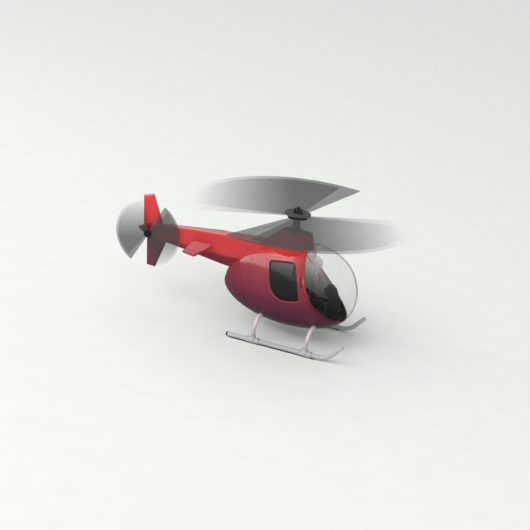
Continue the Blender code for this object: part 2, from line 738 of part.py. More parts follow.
def sector(name, inner, outer, half_chord, sweep, place):
    """Prism over a fan's plan, starting just behind its blade."""
    root, tip = half_chord
    slope = (tip - root) * MM / (outer - inner)
    reach = outer * 1.5
    first = (inner * 0.6, root * MM + GAP)
    second = (reach, root * MM + GAP + slope * (reach - inner))
    arc = [(reach * math.cos(math.radians(sweep * step / 4)),
            reach * math.sin(math.radians(sweep * step / 4))) for step in range(1, 5)]
    end = math.radians(sweep)
    last = (inner * 0.6 * math.cos(end), inner * 0.6 * math.sin(end))
    return cutter(name, outline_mesh(name, [first, second] + arc + [last], 0.02, place))


def make_main_rotor():
    ring_plate("hub_disc", DISC_RADIUS, DISC_Z, "steel")
    ring_plate("hub_clamp_plate", CLAMP_RADIUS, CLAMP_Z, "steel")
    for word, x in (("front", STUD_X), ("rear", -STUD_X)):
        stud = cylinder_mesh("stud", STUD_RADIUS, (x, 0, CLAMP_Z[0] + GAP), (x, 0, 0.1805), 16)
        smooth(add(f"hub_stud_{word}", stud, "steel"))
    low = VANE_Z
    high = VANE_Z + VANE_THICKNESS
    profile = [(ROTOR_ROOT, high), (CONE_START, high), (ROTOR_RADIUS, high + TIP_RISE),
               (ROTOR_RADIUS, low + TIP_RISE), (CONE_START, low), (ROTOR_ROOT, low)]
    for word, extra in (("a", 0.0), ("b", 180.0)):
        turn = Matrix.Rotation(math.radians(BLADE_ANGLE + extra), 4, "Z")
        stations = []
        for radius in (ROTOR_ROOT, CONE_START, ROTOR_RADIUS):
            share = (radius - ROTOR_ROOT) / (ROTOR_RADIUS - ROTOR_ROOT)
            half = BLADE_HALF_CHORD[0] + (BLADE_HALF_CHORD[1] - BLADE_HALF_CHORD[0]) * share
            stations.append((radius, half * MM, BLADE_Z + rise(radius)))
        add(f"main_blade_{word}", blade_mesh("blade", stations, BLADE_THICKNESS, turn), "blade")
        disc = sagged(turned("vane", profile, 60), BLADE_ANGLE + extra)
        vane = add(f"main_vane_{word}", disc, "vane")
        place = Matrix.Translation((0, 0, 0.172)) @ turn
        cut = sector(f"main_sector_{word}", ROTOR_ROOT, ROTOR_RADIUS, BLADE_HALF_CHORD,
                     VANE_SWEEP, place)
        boolean(vane, cut, "INTERSECT")


def tail_place(degrees):
    """Local XY plane to the tail rotor plane, turned about the tail shaft."""
    upright = Matrix(((1, 0, 0, 0), (0, 0, 1, 0), (0, 1, 0, 0), (0, 0, 0, 1)))
    turn = Matrix.Rotation(math.radians(degrees), 4, "Z")
    return Matrix.Translation(TAIL_HUB + Vector((0, TAIL_PLANE, 0))) @ upright @ turn


def tail_plate(name, radius, near, far, paint):
    profile = [(TAIL_SHAFT_RADIUS + GAP, far), (radius, far), (radius, near),
               (TAIL_SHAFT_RADIUS + GAP, near)]
    mesh = turned(name, profile, 24)
    turn = Matrix(((1, 0, 0, 0), (0, 0, 1, 0), (0, -1, 0, 0), (0, 0, 0, 1)))
    mesh.transform(Matrix.Translation(TAIL_HUB) @ turn)
    smooth(add(name, mesh, paint, TAIL_HUB))


def make_tail_rotor():
    low = TAIL_HUB + Vector((0, -12.5 * MM, 0))
    high = TAIL_HUB + Vector((0, 6.8 * MM, 0))
    shaft = cylinder_mesh("shaft", TAIL_SHAFT_RADIUS, low, high, 24)
    smooth(add("tail_rotor_shaft", shaft, "steel", TAIL_HUB))
    tail_plate("tail_hub_outer", 5 * MM, -11.2 * MM, -9.2 * MM, "steel")
    tail_plate("tail_hub_inner", 4.6 * MM, -7.4 * MM, -4.6 * MM, "steel")
    tail_plate("tail_shaft_clip", 3 * MM, 4.2 * MM, 5.6 * MM, "steel")
    root = 2.6 * MM
    profile = [(root, 0.35 * MM), (TAIL_RADIUS, 0.35 * MM), (TAIL_RADIUS, -0.35 * MM),
               (root, -0.35 * MM)]
    for word, extra in (("a", 0.0), ("b", 180.0)):
        place = tail_place(TAIL_BLADE_ANGLE + extra)
        flip = Matrix.Scale(-1, 4, (0, 1, 0))
        stations = [(root, TAIL_HALF_CHORD[0] * MM, -0.5 * MM),
                    (TAIL_RADIUS, TAIL_HALF_CHORD[1] * MM, -0.5 * MM)]
        blade = blade_mesh("blade", stations, 1.0 * MM, place @ flip)
        add(f"tail_blade_{word}", outward(blade), "blade", TAIL_HUB)
        disc = turned("vane", profile, 48)
        disc.transform(place @ flip)
        vane = add(f"tail_vane_{word}", outward(disc), "vane", TAIL_HUB)
        cut = sector(f"tail_sector_{word}", root, TAIL_RADIUS, TAIL_HALF_CHORD,
                     TAIL_VANE_SWEEP, place @ flip)
        boolean(vane, cut, "INTERSECT")


def outward(mesh):
    work = bmesh.new()
    work.from_mesh(mesh)
    bmesh.ops.recalc_face_normals(work, faces=work.faces)
    work.to_mesh(mesh)
    work.free()
    return mesh


clear_scene()
PARTS = collection("helicopter_display_model")
CUTTERS = collection("cutters")
CORE = cutter("hull_core", hull_mesh("core", -WALL))
SKIN = cutter("hull_skin", hull_mesh("skin", GAP))
LINING = cutter("hull_lining", hull_mesh("lining", -WALL - GAP))
make_hull()
make_windshield()
make_fairing()
make_tail()
make_gear()
make_interior()
make_mast()
make_main_rotor()
make_tail_rotor()
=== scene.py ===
"""Looks of the 1:24 helicopter display model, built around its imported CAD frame.

Shapes are drawn in millimetres with x = 0 on the main rotor axis, y = 0 in the centre
plane and z = 0 on the resting plane.  PLACE takes them into the frame's metres.
"""
import json
import math

import bmesh
import bpy
import numpy as np
from mathutils import Matrix, Vector
from mathutils.geometry import delaunay_2d_cdt


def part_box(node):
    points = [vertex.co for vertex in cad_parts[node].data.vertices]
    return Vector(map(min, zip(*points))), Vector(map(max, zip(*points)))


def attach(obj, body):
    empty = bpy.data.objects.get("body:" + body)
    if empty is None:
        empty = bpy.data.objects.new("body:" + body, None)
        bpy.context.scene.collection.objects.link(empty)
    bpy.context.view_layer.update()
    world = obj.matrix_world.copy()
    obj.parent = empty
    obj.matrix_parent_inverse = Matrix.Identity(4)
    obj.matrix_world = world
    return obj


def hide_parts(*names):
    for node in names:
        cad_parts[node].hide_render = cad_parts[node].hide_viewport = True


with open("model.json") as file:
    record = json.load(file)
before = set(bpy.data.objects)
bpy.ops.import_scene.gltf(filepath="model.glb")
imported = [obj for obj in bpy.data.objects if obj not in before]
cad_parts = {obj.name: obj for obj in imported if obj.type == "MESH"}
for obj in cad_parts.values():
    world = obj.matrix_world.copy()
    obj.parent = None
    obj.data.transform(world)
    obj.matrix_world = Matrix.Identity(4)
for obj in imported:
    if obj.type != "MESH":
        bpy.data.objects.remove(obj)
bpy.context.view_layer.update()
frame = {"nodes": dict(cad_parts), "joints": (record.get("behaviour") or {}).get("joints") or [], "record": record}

MILLIMETRE = 0.001
JOINTS = {joint["name"]: joint for joint in frame["joints"]}
BODIES = frame["record"]["behaviour"]["bodies"]
BODY_OF = {node: body for body, nodes in BODIES.items() for node in nodes}
MAST_AXIS = Vector((JOINTS["main_rotor_spin"]["pos_m"][0], 0.0, 0.0))
PLACE = Matrix.Translation(MAST_AXIS) @ Matrix.Scale(MILLIMETRE, 4)
X, Y, Z = range(3)


def box(part):
    """Lowest and highest corner of a CAD node in the drawing's millimetres."""
    low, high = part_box(part)
    return (low - MAST_AXIS) / MILLIMETRE, (high - MAST_AXIS) / MILLIMETRE


def middle(part, axis):
    low, high = box(part)
    return (low[axis] + high[axis]) / 2


def half(part, axis):
    low, high = box(part)
    return (high[axis] - low[axis]) / 2


def drawn(point):
    return (Vector(point) - MAST_AXIS) / MILLIMETRE


# Fuselage egg: its extremes come from the CAD skins, its section law is the CAD's
HULL_REAR = box("engine_cowl")[0].x
HULL_NOSE = box("windshield_bubble")[1].x
HULL_MID = 18.0
WAIST_Z = 69.0
WAIST_SLOPE = 0.075
HALF_WIDTH = box("door_left")[1].y
CROWN = box("cabin_shell_left")[1].z - WAIST_Z
KEEL = WAIST_Z - box("cabin_shell_left")[0].z
UPPER_PINCH = 0.3
UPPER_POWER = 5 / 3
LOWER_POWER = 0.95
WALL = 1.7
GAP = 0.3
COWL_SEAM = box("engine_cowl")[1].x + GAP / 2
MAST_HOLE = 8.2

# Windshield edge in side view, from the roof down and forward to the nose
WINDSHIELD = [(27, 150), (26.4, 138), (24.6, 127.5), (26.9, 110), (31.2, 96), (35.6, 87),
              (41.9, 78), (49, 69.2), (57.6, 60.8), (66.7, 53.6), (75, 47.8), (83, 43),
              (92, 38.6), (100, 35.4)]
FRAME_WIDTH = 3.2

# Door and window in the door plane: x forward, u up the flank
DOOR_TILT = math.radians(27.5)
WINDOW = [(-23.6, 85.8), (11, 89.5), (31.4, 41), (5.4, 36.4), (-8.5, 44), (-16, 57)]
WINDOW_RADIUS = [4, 4, 5, 9, 12, 16]
DOOR = [(-28.4, 90.8), (15.7, 94.5), (36.6, 35.9), (12, 27.6), (-12, 35.8), (-22, 56)]
DOOR_RADIUS = [5, 4, 3.5, 16, 16, 18]
SEAL_WIDTH = 1.4
BEAD_WIDTH = 1.2
KNUCKLE_RADIUS = 1.5
KNUCKLE_LENGTH = 3.6

# Rounding of sheet edges, and the spacing of points over the egg's phase and angle
RIM = 0.1
SHEET_STEP = 1.9
PHASE_SPAN = 60.0
ANGLE_SPAN = 55.0

# Half outlines of the mast fairing: x, half width
FAIRING_FOOT = [(-44, 10), (-34, 11.4), (-24, 13.6), (-12, 17.4), (0, 19.4), (10, 18.8),
                (18, 16.4), (24, 12), (27.2, 6)]
FAIRING_TOP = [(-17, 8), (-14, 9.4), (-9, 10.2), (-4, 10.6), (2, 11), (8, 11), (14, 10.4),
               (19, 9), (22.3, 5.6)]

# Height of the fairing's foot at the mast, and its rise towards the front
FAIRING_FOOT_Z = 127.47
FAIRING_FOOT_SLOPE = 0.085

# Tail sections: x, half width, top, upper edge, lower edge, keel
BOOM = [(-41.5, 9.7, 128.6, 123.8, 94, 77), (-48, 10.1, 128.5, 124.0, 94, 77),
        (-62, 10.0, 127.7, 123.7, 93.5, 76.5), (-90, 9.6, 125.4, 123.0, 94.5, 77.5),
        (-130, 7.6, 121.6, 120.1, 98.4, 82.5), (-168, 5.6, 117.6, 116.2, 100, 87.5),
        (-205, 3.6, 113.6, 112.2, 99.2, 92)]
CONE = [(-205.4, 3.6, 113.4, 112.0, 99.2, 92.2), (-212, 3.1, 110.6, 109.4, 98.6, 93.4),
        (-219, 2.2, 107.6, 106.8, 98.8, 96.2), (-225, 1.2, 104.8, 104.2, 100.4, 99.4),
        (-227.5, 0.5, 103.2, 103.0, 101.8, 101.5)]
UPPER_FIN = [(-190, 113.6), (-205.4, 111.0), (-219.3, 106.2), (-222.7, 150.1), (-207.8, 154.9)]
LOWER_FIN = [(-183.6, 90.4), (-197.5, 49.4), (-210.3, 50.2), (-213.5, 95.0), (-205, 94.0)]
STABILISER = [(-112, 7.4), (-140, 7.4), (-137, 52), (-117, 58)]

# Right half of a cross tube seen from the front, and where it enters the egg
LEG = [(54.3, 8.7), (54.2, 13), (53.2, 19), (50.6, 24.6), (46.4, 28.8), (40.6, 31.4),
       (34, 32.4), (26, 32.6)]
TUBE_ENTRY = LEG[4]
SKID_RADIUS = 3.0

# Rotors: angles in degrees, lengths in millimetres
BLADE_ANGLE = 75.5
TAIL_BLADE_ANGLE = 58.6
FAN_SWEEP = 134.0
TAIL_FAN_SWEEP = 138.0
ROTOR_RADIUS = 150.0
TAIL_RADIUS = 48.5
OVERLAP = 0.1
CONE_START = 18.0
TIP_RISE = 6.0
VANE_SAG = 1.2
TAIL_HUB = drawn(JOINTS["tail_rotor_spin"]["pos_m"])

# Turns a flat outline of (x, z) upright
UPRIGHT = Matrix(((1, 0, 0, 0), (0, 0, -1, 0), (0, 1, 0, 0), (0, 0, 0, 1)))

CAMERA_AIM = (-25.95, -32.5, 104.1)
CAMERA_DISTANCE = 1500.0
CAMERA_AZIMUTH = 18.04
CAMERA_ELEVATION = 21.25
CAMERA_ROLL = 6.93
CAMERA_LENS = 77.27

# Sky brightness as light, to the camera and in mirror images; the panel's place in metres
# and degrees, seen from the mast
SKY_LIGHT = 0.74
SKY_SEEN = 0.9
SKY_MIRRORED = 0.2
PANEL_AZIMUTH = -26.0
PANEL_DISTANCE = 1.5
PANEL_LEVELS = (31.0, 43.0)
PANEL_ENDS = (35.0, -65.0)
PANEL_POWER = 33.0


# ---------------------------------------------------------------- outlines and meshes


def smooth_curve(points, steps):
    """Catmull-Rom curve through an open row of points."""
    row = np.array(points, float)
    row = np.vstack([2 * row[0] - row[1], row, 2 * row[-1] - row[-2]])
    result = []
    for a, b, c, d in zip(row[:-3], row[1:-2], row[2:-1], row[3:]):
        for t in np.arange(steps) / steps:
            curve = 2 * b + (c - a) * t + (2 * a - 5 * b + 4 * c - d) * t * t
            result.append((curve + (3 * b - a - 3 * c + d) * t ** 3) / 2)
    return np.array(result + [row[-2]])


def resample(points, count):
    """The same closed outline with its points evenly spaced."""
    row = np.vstack([points, points[:1]])
    lengths = np.linalg.norm(np.diff(row, axis=0), axis=1)
    along = np.concatenate([[0], np.cumsum(lengths)])
    places = np.linspace(0, along[-1], count + 1)[:-1]
    return np.stack([np.interp(places, along, column) for column in row.T], 1)


def rounded(points, radii, steps=8, closed=True):
    """Replace the corners of an outline by curves that start a radius away."""
    row = [np.array(point, float) for point in points]
    count = len(row)
    if not hasattr(radii, "__len__"):
        radii = [radii] * count
    result = []
    for index, here in enumerate(row):
        if not closed and index in (0, count - 1):
            result.append(here)
            continue
        ends = []
        for other in (row[index - 1], row[(index + 1) % count]):
            length = np.linalg.norm(other - here)
            ends.append(here + (other - here) / length * min(radii[index], length * 0.49))
        for t in np.arange(steps + 1) / steps:
            result.append(ends[0] * (1 - t) ** 2 + here * 2 * t * (1 - t) + ends[1] * t * t)
    return np.array(result)


def offset(points, distance, closed=True):
    """Move an outline to its left by a distance."""
    row = np.array(points, float)
    ahead = np.roll(row, -1, axis=0)
    behind = np.roll(row, 1, axis=0)
    if not closed:
        ahead[-1] = 2 * row[-1] - row[-2]
        behind[0] = 2 * row[0] - row[1]
    first = (row - behind) / np.linalg.norm(row - behind, axis=1)[:, None]
    second = (ahead - row) / np.linalg.norm(ahead - row, axis=1)[:, None]
    normal = np.stack([-(first + second)[:, 1], (first + second)[:, 0]], 1)
    normal /= np.linalg.norm(normal, axis=1)[:, None]
    scale = normal[:, 0] * -first[:, 1] + normal[:, 1] * first[:, 0]
    return row + normal * (distance / np.maximum(scale, 0.4))[:, None]


def loft(rings, closed=False):
    """(points, faces) over closed rings; a one-point ring is a pole, open ends are capped."""
    points = []
    rows = []
    for ring in rings:
        rows.append(range(len(points), len(points) + len(ring)))
        points.extend(tuple(point) for point in ring)
    pairs = list(zip(rows[:-1], rows[1:]))
    if closed:
        pairs.append((rows[-1], rows[0]))
    faces = []
    for first, second in pairs:
        count = max(len(first), len(second))
        for index in range(count):
            after = (index + 1) % count
            if len(first) == 1:
                faces.append((first[0], second[index], second[after]))
            elif len(second) == 1:
                faces.append((first[index], second[0], first[after]))
            else:
                faces.append((first[index], second[index], second[after], first[after]))
    if not closed:
        faces.extend(tuple(row) for row in (rows[0], rows[-1]) if len(row) > 1)
    return points, faces


def lathe(profile, steps, closed=False):
    """Turn a profile of (radius, height) about the Z axis."""
    turn = np.arange(steps) * math.tau / steps
    rings = []
    for radius, height in profile:
        if radius < 1e-6:
            rings.append([(0, 0, height)])
        else:
            rings.append([(radius * math.cos(a), radius * math.sin(a), height) for a in turn])
    return loft(rings, closed)


def sweep(path, radii, normal, around):
    """Round bar along a flat path whose plane has the given normal."""
    path = np.array(path, float)
    normal = np.array(normal, float)
    tangent = np.gradient(path, axis=0)
    side = np.cross(tangent, normal)
    side /= np.linalg.norm(side, axis=1)[:, None]
    turn = np.arange(around) * math.tau / around
    rings = []
    for centre, across, radius in zip(path, side, radii):
        rings.append([centre + radius * (math.cos(a) * across + math.sin(a) * normal)
                      for a in turn])
    return loft(rings)


def round_bar(path, radius, normal, edge, around):
    """Sweep whose ends are rounded off over a short edge."""
    path = np.array(path, float)
    start = (path[1] - path[0]) / np.linalg.norm(path[1] - path[0])
    end = (path[-1] - path[-2]) / np.linalg.norm(path[-1] - path[-2])
    angles = np.radians([0, 30, 60, 85])
    reach = edge * (1 - np.sin(angles))[:, None]
    slim = list(radius - edge + edge * np.cos(angles))
    full = np.vstack([path[0] + start * reach[::-1], path[1:-1], path[-1] - end * reach])
    return sweep(full, slim[::-1] + [radius] * (len(path) - 2) + slim, normal, around)


def plate(outline, thickness, edge, chamfer, corner):
    """Flat panel in its own XY plane whose rim slopes down to a thin edge."""
    sharp = np.array(outline, float)
    area = sharp[:, 0] * np.roll(sharp[:, 1], -1) - np.roll(sharp[:, 0], -1) * sharp[:, 1]
    face = rounded(offset(sharp, chamfer if np.sum(area) > 0 else -chamfer), corner, 4)
    rim = rounded(sharp, corner, 4)
    levels = [(face, thickness / 2), (rim, edge / 2), (rim, -edge / 2), (face, -thickness / 2)]
    return loft([[(x, y, z) for x, y in ring] for ring, z in levels])


def moved(shape, matrix):
    points, faces = shape
    return [tuple(matrix @ Vector(point)) for point in points], faces


def mirrored(shape):
    points, faces = shape
    return [(x, -y, z) for x, y, z in points], [tuple(face[::-1]) for face in faces]


def joined(*shapes):
    points = []
    faces = []
    for more_points, more_faces in shapes:
        start = len(points)
        points.extend(more_points)
        faces.extend(tuple(start + index for index in face) for face in more_faces)
    return points, faces


def add_object(name, data):
    obj = bpy.data.objects.new(name, data)
    bpy.context.scene.collection.objects.link(obj)
    return obj


def mount(mesh, part, paints):
    """Show a mesh in place of a CAD node, riding on the node's body."""
    obj = add_object(mesh.name, mesh)
    for paint in paints:
        mesh.materials.append(paint)
    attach(obj, BODY_OF[part])
    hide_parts(part)
    return obj


def piece(part, finish, shape, paint, bevel=0.0, sharp=32.0):
    """Visible piece, named after its CAD node and its finish, in one paint."""
    mesh = bpy.data.meshes.new(f"{part}_{finish}")
    mesh.from_pydata([tuple(point) for point in shape[0]], [], shape[1])
    work = bmesh.new()
    work.from_mesh(mesh)
    bmesh.ops.recalc_face_normals(work, faces=work.faces)
    work.to_mesh(mesh)
    work.free()
    mesh.transform(PLACE)
    mesh.shade_smooth()
    mesh.set_sharp_from_angle(angle=math.radians(sharp))
    obj = mount(mesh, part, [paint])
    if bevel:
        mod = obj.modifiers.new("Edges", "BEVEL")
        mod.width = bevel * MILLIMETRE
        mod.segments = 3
        mod.limit_method = "ANGLE"
        mod.angle_limit = math.radians(sharp)
        mod.harden_normals = True
    return obj


# ---------------------------------------------------------------- the egg's surface


def hull(phase, angle):
    """Points of the egg: phase 0 to pi runs tail to nose, angle starts at +Y and turns up."""
    phase, angle = np.broadcast_arrays(phase, angle)
    spread = -np.cos(phase)
    rear = spread < 0
    x = HULL_MID + spread * np.where(rear, HULL_MID - HULL_REAR, HULL_NOSE - HULL_MID)

    def taper(rear_power, front_power):
        power = np.where(rear, rear_power, front_power)
        return np.maximum(0, 1 - np.abs(spread) ** power) ** (1 / power)

    across = np.cos(angle)
    up = np.sin(angle)
    side = np.where(up > 0, across * (1 - UPPER_PINCH * up * up),
                    np.sign(across) * np.abs(across) ** LOWER_POWER)
    rise = np.where(up > 0, CROWN * taper(1.9, 2.15) * np.abs(up) ** UPPER_POWER,
                    -KEEL * taper(1.75, 2.6) * np.abs(up) ** LOWER_POWER)
    waist = WAIST_Z + WAIST_SLOPE * (x - HULL_MID)
    return np.stack([x, HALF_WIDTH * taper(2.0, 2.4) * side, waist + rise], -1)


def hull_normal(phase, angle):
    """Unit outward normals of the egg."""
    phase, angle = np.broadcast_arrays(phase, angle)
    step = 0.012
    inner = np.clip(phase, 2 * step, math.pi - 2 * step)
    along = hull(inner + step, angle) - hull(inner - step, angle)
    around = hull(inner, angle + step) - hull(inner, angle - step)
    normal = np.cross(around, along)
    normal /= np.linalg.norm(normal, axis=-1)[..., None]
    outward = hull(inner, angle) - np.array([HULL_MID, 0, WAIST_Z])
    normal *= np.sign(np.sum(normal * outward, -1))[..., None]
    pole = (phase < 1e-6) | (phase > math.pi - 1e-6)
    tip = np.stack([np.where(phase < 1, -1.0, 1.0), 0 * phase, 0 * phase], -1)
    return np.where(pole[..., None], tip, normal)


def on_hull(point):
    """(phase, angle, reach) of a point; reach passes 1 outside the egg."""
    x, y, z = point
    spread = (x - HULL_MID) / (HULL_MID - HULL_REAR if x < HULL_MID else HULL_NOSE - HULL_MID)
    phase = math.acos(max(-1.0, min(1.0, -spread)))
    top = hull(phase, math.pi / 2)
    low = hull(phase, -math.pi / 2)
    wide = hull(phase, 0.0)
    height = (z - wide[2]) / ((top if z > wide[2] else low)[2] - wide[2])
    power = UPPER_POWER if z > wide[2] else LOWER_POWER
    lift = math.asin(min(1.0, height ** (1 / power)))
    lift = lift if z > wide[2] else -lift
    edge = hull(phase, lift)[1]
    angle = lift if y > 0 else math.pi - lift
    return phase, angle, max(height, abs(y) / max(edge, 1e-6) if height < 1 else 2.0)


def cast(origin, direction, reach):
    """(phase, angle) where a ray from outside meets the egg within its reach."""
    origin = np.array(origin, float)
    direction = np.array(direction, float)
    near = 0.0
    far = reach
    for _ in range(26):
        middle = (near + far) / 2
        if on_hull(origin + direction * middle)[2] > 1:
            near = middle
        else:
            far = middle
    return on_hull(origin + direction * far)[:2]


def door_axes():
    """The right door plane's axes in the drawing: forward, up the flank and outwards."""
    up = np.array((0, math.sin(DOOR_TILT), math.cos(DOOR_TILT)))
    out = np.array((0, -math.cos(DOOR_TILT), math.sin(DOOR_TILT)))
    return np.array((1.0, 0, 0)), up, out


def door_loop(points, radii, grow, count=150):
    """Outline of the door or window, projected on to the right flank."""
    forward, up, out = door_axes()
    shape = offset(resample(rounded(points, radii), count), grow)
    return [cast(x * forward + u * up + 100 * out, -out, 60) for x, u in shape]


def windshield_phase(angle, forward):
    """Phase at which each section angle crosses the windshield line, moved forward."""
    line = offset(smooth_curve(WINDSHIELD, 6), forward, closed=False)[::-1]
    near = np.full_like(angle, math.pi * 0.4)
    far = np.full_like(angle, math.pi)
    for _ in range(30):
        middle = (near + far) / 2
        place = hull(middle, angle)
        behind = place[:, 0] < np.interp(place[:, 2], line[:, 1], line[:, 0])
        near = np.where(behind, middle, near)
        far = np.where(behind, far, middle)
    return far


def inside_loops(points, loops):
    """Even-odd test of points against closed loops."""
    hit = np.zeros(len(points), bool)
    for loop in loops:
        after = np.roll(loop, -1, axis=0)
        for (x0, y0), (x1, y1) in zip(loop, after):
            crosses = (y0 > points[:, 1]) != (y1 > points[:, 1])
            if y0 != y1:
                at = x0 + (points[:, 1] - y0) * (x1 - x0) / (y1 - y0)
                hit ^= crosses & (points[:, 0] < at)
    return hit


def patch(loops, step=SHEET_STEP):
    """Triangulated patch of the egg inside loops of (phase, angle): phase, angle, faces."""
    scale = np.array([PHASE_SPAN, ANGLE_SPAN])
    flat = [np.array(loop) * scale for loop in loops]
    edge = np.vstack(flat)
    low = edge.min(0)
    high = edge.max(0)
    columns, rows = np.meshgrid(np.arange(low[0], high[0], step),
                                np.arange(low[1], high[1], step * 0.87))
    columns = columns + (np.arange(len(rows)) % 2 * step / 2)[:, None]
    grid = np.stack([columns.ravel(), rows.ravel()], 1)
    grid = grid[inside_loops(grid, flat)]
    clear = [np.min(np.sum((edge - point) ** 2, 1)) > (0.62 * step) ** 2 for point in grid]
    grid = grid[np.array(clear, bool)]
    rims = []
    start = 0
    for loop in flat:
        count = len(loop)
        rims += [(start + k, start + (k + 1) % count) for k in range(count)]
        start += count
    cloud = [Vector(point) for point in np.vstack([edge, grid])]
    found = delaunay_2d_cdt(cloud, rims, [], 0, 1e-5)
    places = np.array([tuple(point) for point in found[0]])
    faces = np.array(found[2])
    faces = faces[inside_loops(places[faces].mean(1), flat)]
    return places[:, 0] / scale[0], places[:, 1] / scale[1], faces.tolist()


def band(start, end, rows, angles):
    """Regular patch between two phases given for each section angle, closed at a pole."""
    share = np.linspace(0, 1, rows + 1)[:, None]
    phase = start[None, :] * (1 - share) + end[None, :] * share
    angle = np.broadcast_to(angles, phase.shape)
    count = len(angles)
    pole = np.ptp(end) < 1e-9
    last = rows - 1 if pole else rows
    flat_phase = phase[:last + 1].ravel()
    flat_angle = angle[:last + 1].ravel()
    faces = []
    for row in range(last):
        for k in range(count):
            after = (k + 1) % count
            faces.append([row * count + k, row * count + after,
                          (row + 1) * count + after, (row + 1) * count + k])
    if pole:
        tip = len(flat_phase)
        flat_phase = np.append(flat_phase, end[0])
        flat_angle = np.append(flat_angle, 0.0)
        faces += [[last * count + k, last * count + (k + 1) % count, tip] for k in range(count)]
    return flat_phase, flat_angle, faces


def rim_profile(radius, wall):
    """Rounded edge from the outer to the inner face, as (outwards, down) steps."""
    turn = np.radians([30, 60, 90])
    top = [(radius * math.sin(a), radius * (1 - math.cos(a))) for a in turn]
    return top + [(out, wall - down) for out, down in reversed(top)]


def bead_profile(width, wall):
    """Raised lip that rolls over into an opening."""
    return [(width * 0.18, -0.34), (width * 0.5, -0.52), (width * 0.84, -0.34),
            (width, 0.08), (width, wall - 0.1), (width * 0.94, wall)]


def faced_out(faces, points, normal):
    """The same faces, each turned to look along its first point's normal."""
    result = []
    for face in faces:
        a, b, c = (points[index] for index in face[:3])
        inwards = np.dot(np.cross(b - a, c - a), normal[face[0]]) < 0
        result.append(list(face[::-1] if inwards else face))
    return result


def open_edges(faces):
    """Directed edges that only one face has."""
    edges = dict.fromkeys(edge for face in faces for edge in zip(face, face[1:] + face[:1]))
    return [(a, b) for a, b in edges if (b, a) not in edges]


def ways_out(border, points, normal):
    """Unit direction away from the sheet at each point of its border."""
    away = {}
    for a, b in border:
        across = np.cross(points[b] - points[a], normal[a] + normal[b])
        across /= np.linalg.norm(across)
        for index in (a, b):
            away[index] = away.get(index, 0) + across
    return {index: out / np.linalg.norm(out) for index, out in away.items()}


def rolled_edge(points, normals, index, out, steps, depth):
    """Add the rounded edge that hangs from a border point, and return its point numbers."""
    route = np.array([(0, 0)] + steps + [(0, depth)])
    row = []
    for before, (reach, down), after in zip(route, route[1:], route[2:]):
        tangent = (after - before) / np.linalg.norm(after - before)
        row.append(len(points))
        points.append(points[index] + out * reach - normals[index] * down)
        normals.append(out * tangent[1] + normals[index] * tangent[0])
    return row


def skin_mesh(name, shape, slots, normals, extra):
    """Mesh with the skin's own normals; the closed shapes in extra keep theirs."""
    own = len(shape[0])
    shape = joined(shape, *extra)
    mesh = bpy.data.meshes.new(name)
    mesh.from_pydata([tuple(point) for point in shape[0]], [], shape[1])
    mesh.transform(PLACE)
    mesh.polygons.foreach_set("material_index", slots + [0] * (len(shape[1]) - len(slots)))
    mesh.shade_smooth()
    found = np.zeros(len(shape[0]) * 3)
    mesh.vertices.foreach_get("normal", found)
    normals = [*normals, *found.reshape(-1, 3)[own:]]
    mesh.normals_split_custom_set_from_vertices([tuple(n) for n in normals])
    return mesh


def skin(part, finish, patch_data, paints, wall=WALL, rim=RIM, bead=None, mirror=False,
         extra=(), drop=0.0):
    """Solid skin of the egg with rounded rims, exact normals and a lined inner face.

    bead is the loop of (phase, angle) whose edge rolls up into a lip, which takes the
    last paint.  drop moves the outer face in.  extra holds closed shapes that belong to
    the same piece.
    """
    phase, angle, faces = patch_data
    normal = hull_normal(phase, angle)
    outer = hull(phase, angle) - normal * drop
    depth = wall - drop
    faces = faced_out(faces, outer, normal)
    border = open_edges(faces)
    away = ways_out(border, outer, normal)
    beaded = set()
    if bead is not None:
        lip = np.array(bead)
        beaded = {index for index in away
                  if np.min(np.hypot(lip[:, 0] - phase[index], lip[:, 1] - angle[index])) < 1e-4}
    count = len(outer)
    points = [*outer, *(outer - normal * depth)]
    normals = [*normal, *-normal]
    rings = {}
    for index, out in away.items():
        steps = bead_profile(BEAD_WIDTH, wall) if index in beaded else rim_profile(rim, depth)
        row = rolled_edge(points, normals, index, out, steps, depth)
        rings[index] = [index, *row, index + count]
    inner = [[index + count for index in reversed(face)] for face in faces]
    edges = [(a, [rings[b][k], rings[a][k], rings[a][k + 1], rings[b][k + 1]])
             for a, b in border for k in range(len(rings[a]) - 1)]
    last = len(paints) - 1
    slots = [0] * len(faces) + [min(1, last)] * len(inner)
    slots += [last if a in beaded else 0 for a, _ in edges]
    shape = (points, faces + inner + [face for _, face in edges])
    if mirror:
        shape = mirrored(shape)
        normals = [(x, -y, z) for x, y, z in normals]
        extra = [mirrored(more) for more in extra]
    mesh = skin_mesh(f"{part}_{finish}", shape, slots, normals, extra)
    return mount(mesh, part, paints)


# ---------------------------------------------------------------- materials


def linear(red, green, blue):
    """Linear colour from display values of 0 to 255."""
    def channel(value):
        value = value / 255
        return value / 12.92 if value <= 0.04045 else ((value + 0.055) / 1.055) ** 2.4
    return (channel(red), channel(green), channel(blue), 1.0)


def node(tree, kind, inputs=None, **settings):
    """Add a shader node; an input's value may be another node's socket."""
    made = tree.nodes.new(kind)
    for key, value in settings.items():
        setattr(made, key, value)
    for key, value in (inputs or {}).items():
        if isinstance(value, bpy.types.NodeSocket):
            tree.links.new(value, made.inputs[key])
        else:
            made.inputs[key].default_value = value
    return made


def calc(tree, operation, *values):
    inputs = dict(enumerate(values))
    return node(tree, "ShaderNodeMath", inputs, operation=operation).outputs[0]


def product(tree, result, *factors):
    for factor in factors:
        result = calc(tree, "MULTIPLY", result, factor)
    return result


def spread_over(tree, value, low, high, first=0.0, last=1.0):
    inputs = {"Value": value, "From Min": low, "From Max": high, "To Min": first, "To Max": last}
    return node(tree, "ShaderNodeMapRange", inputs).outputs[0]


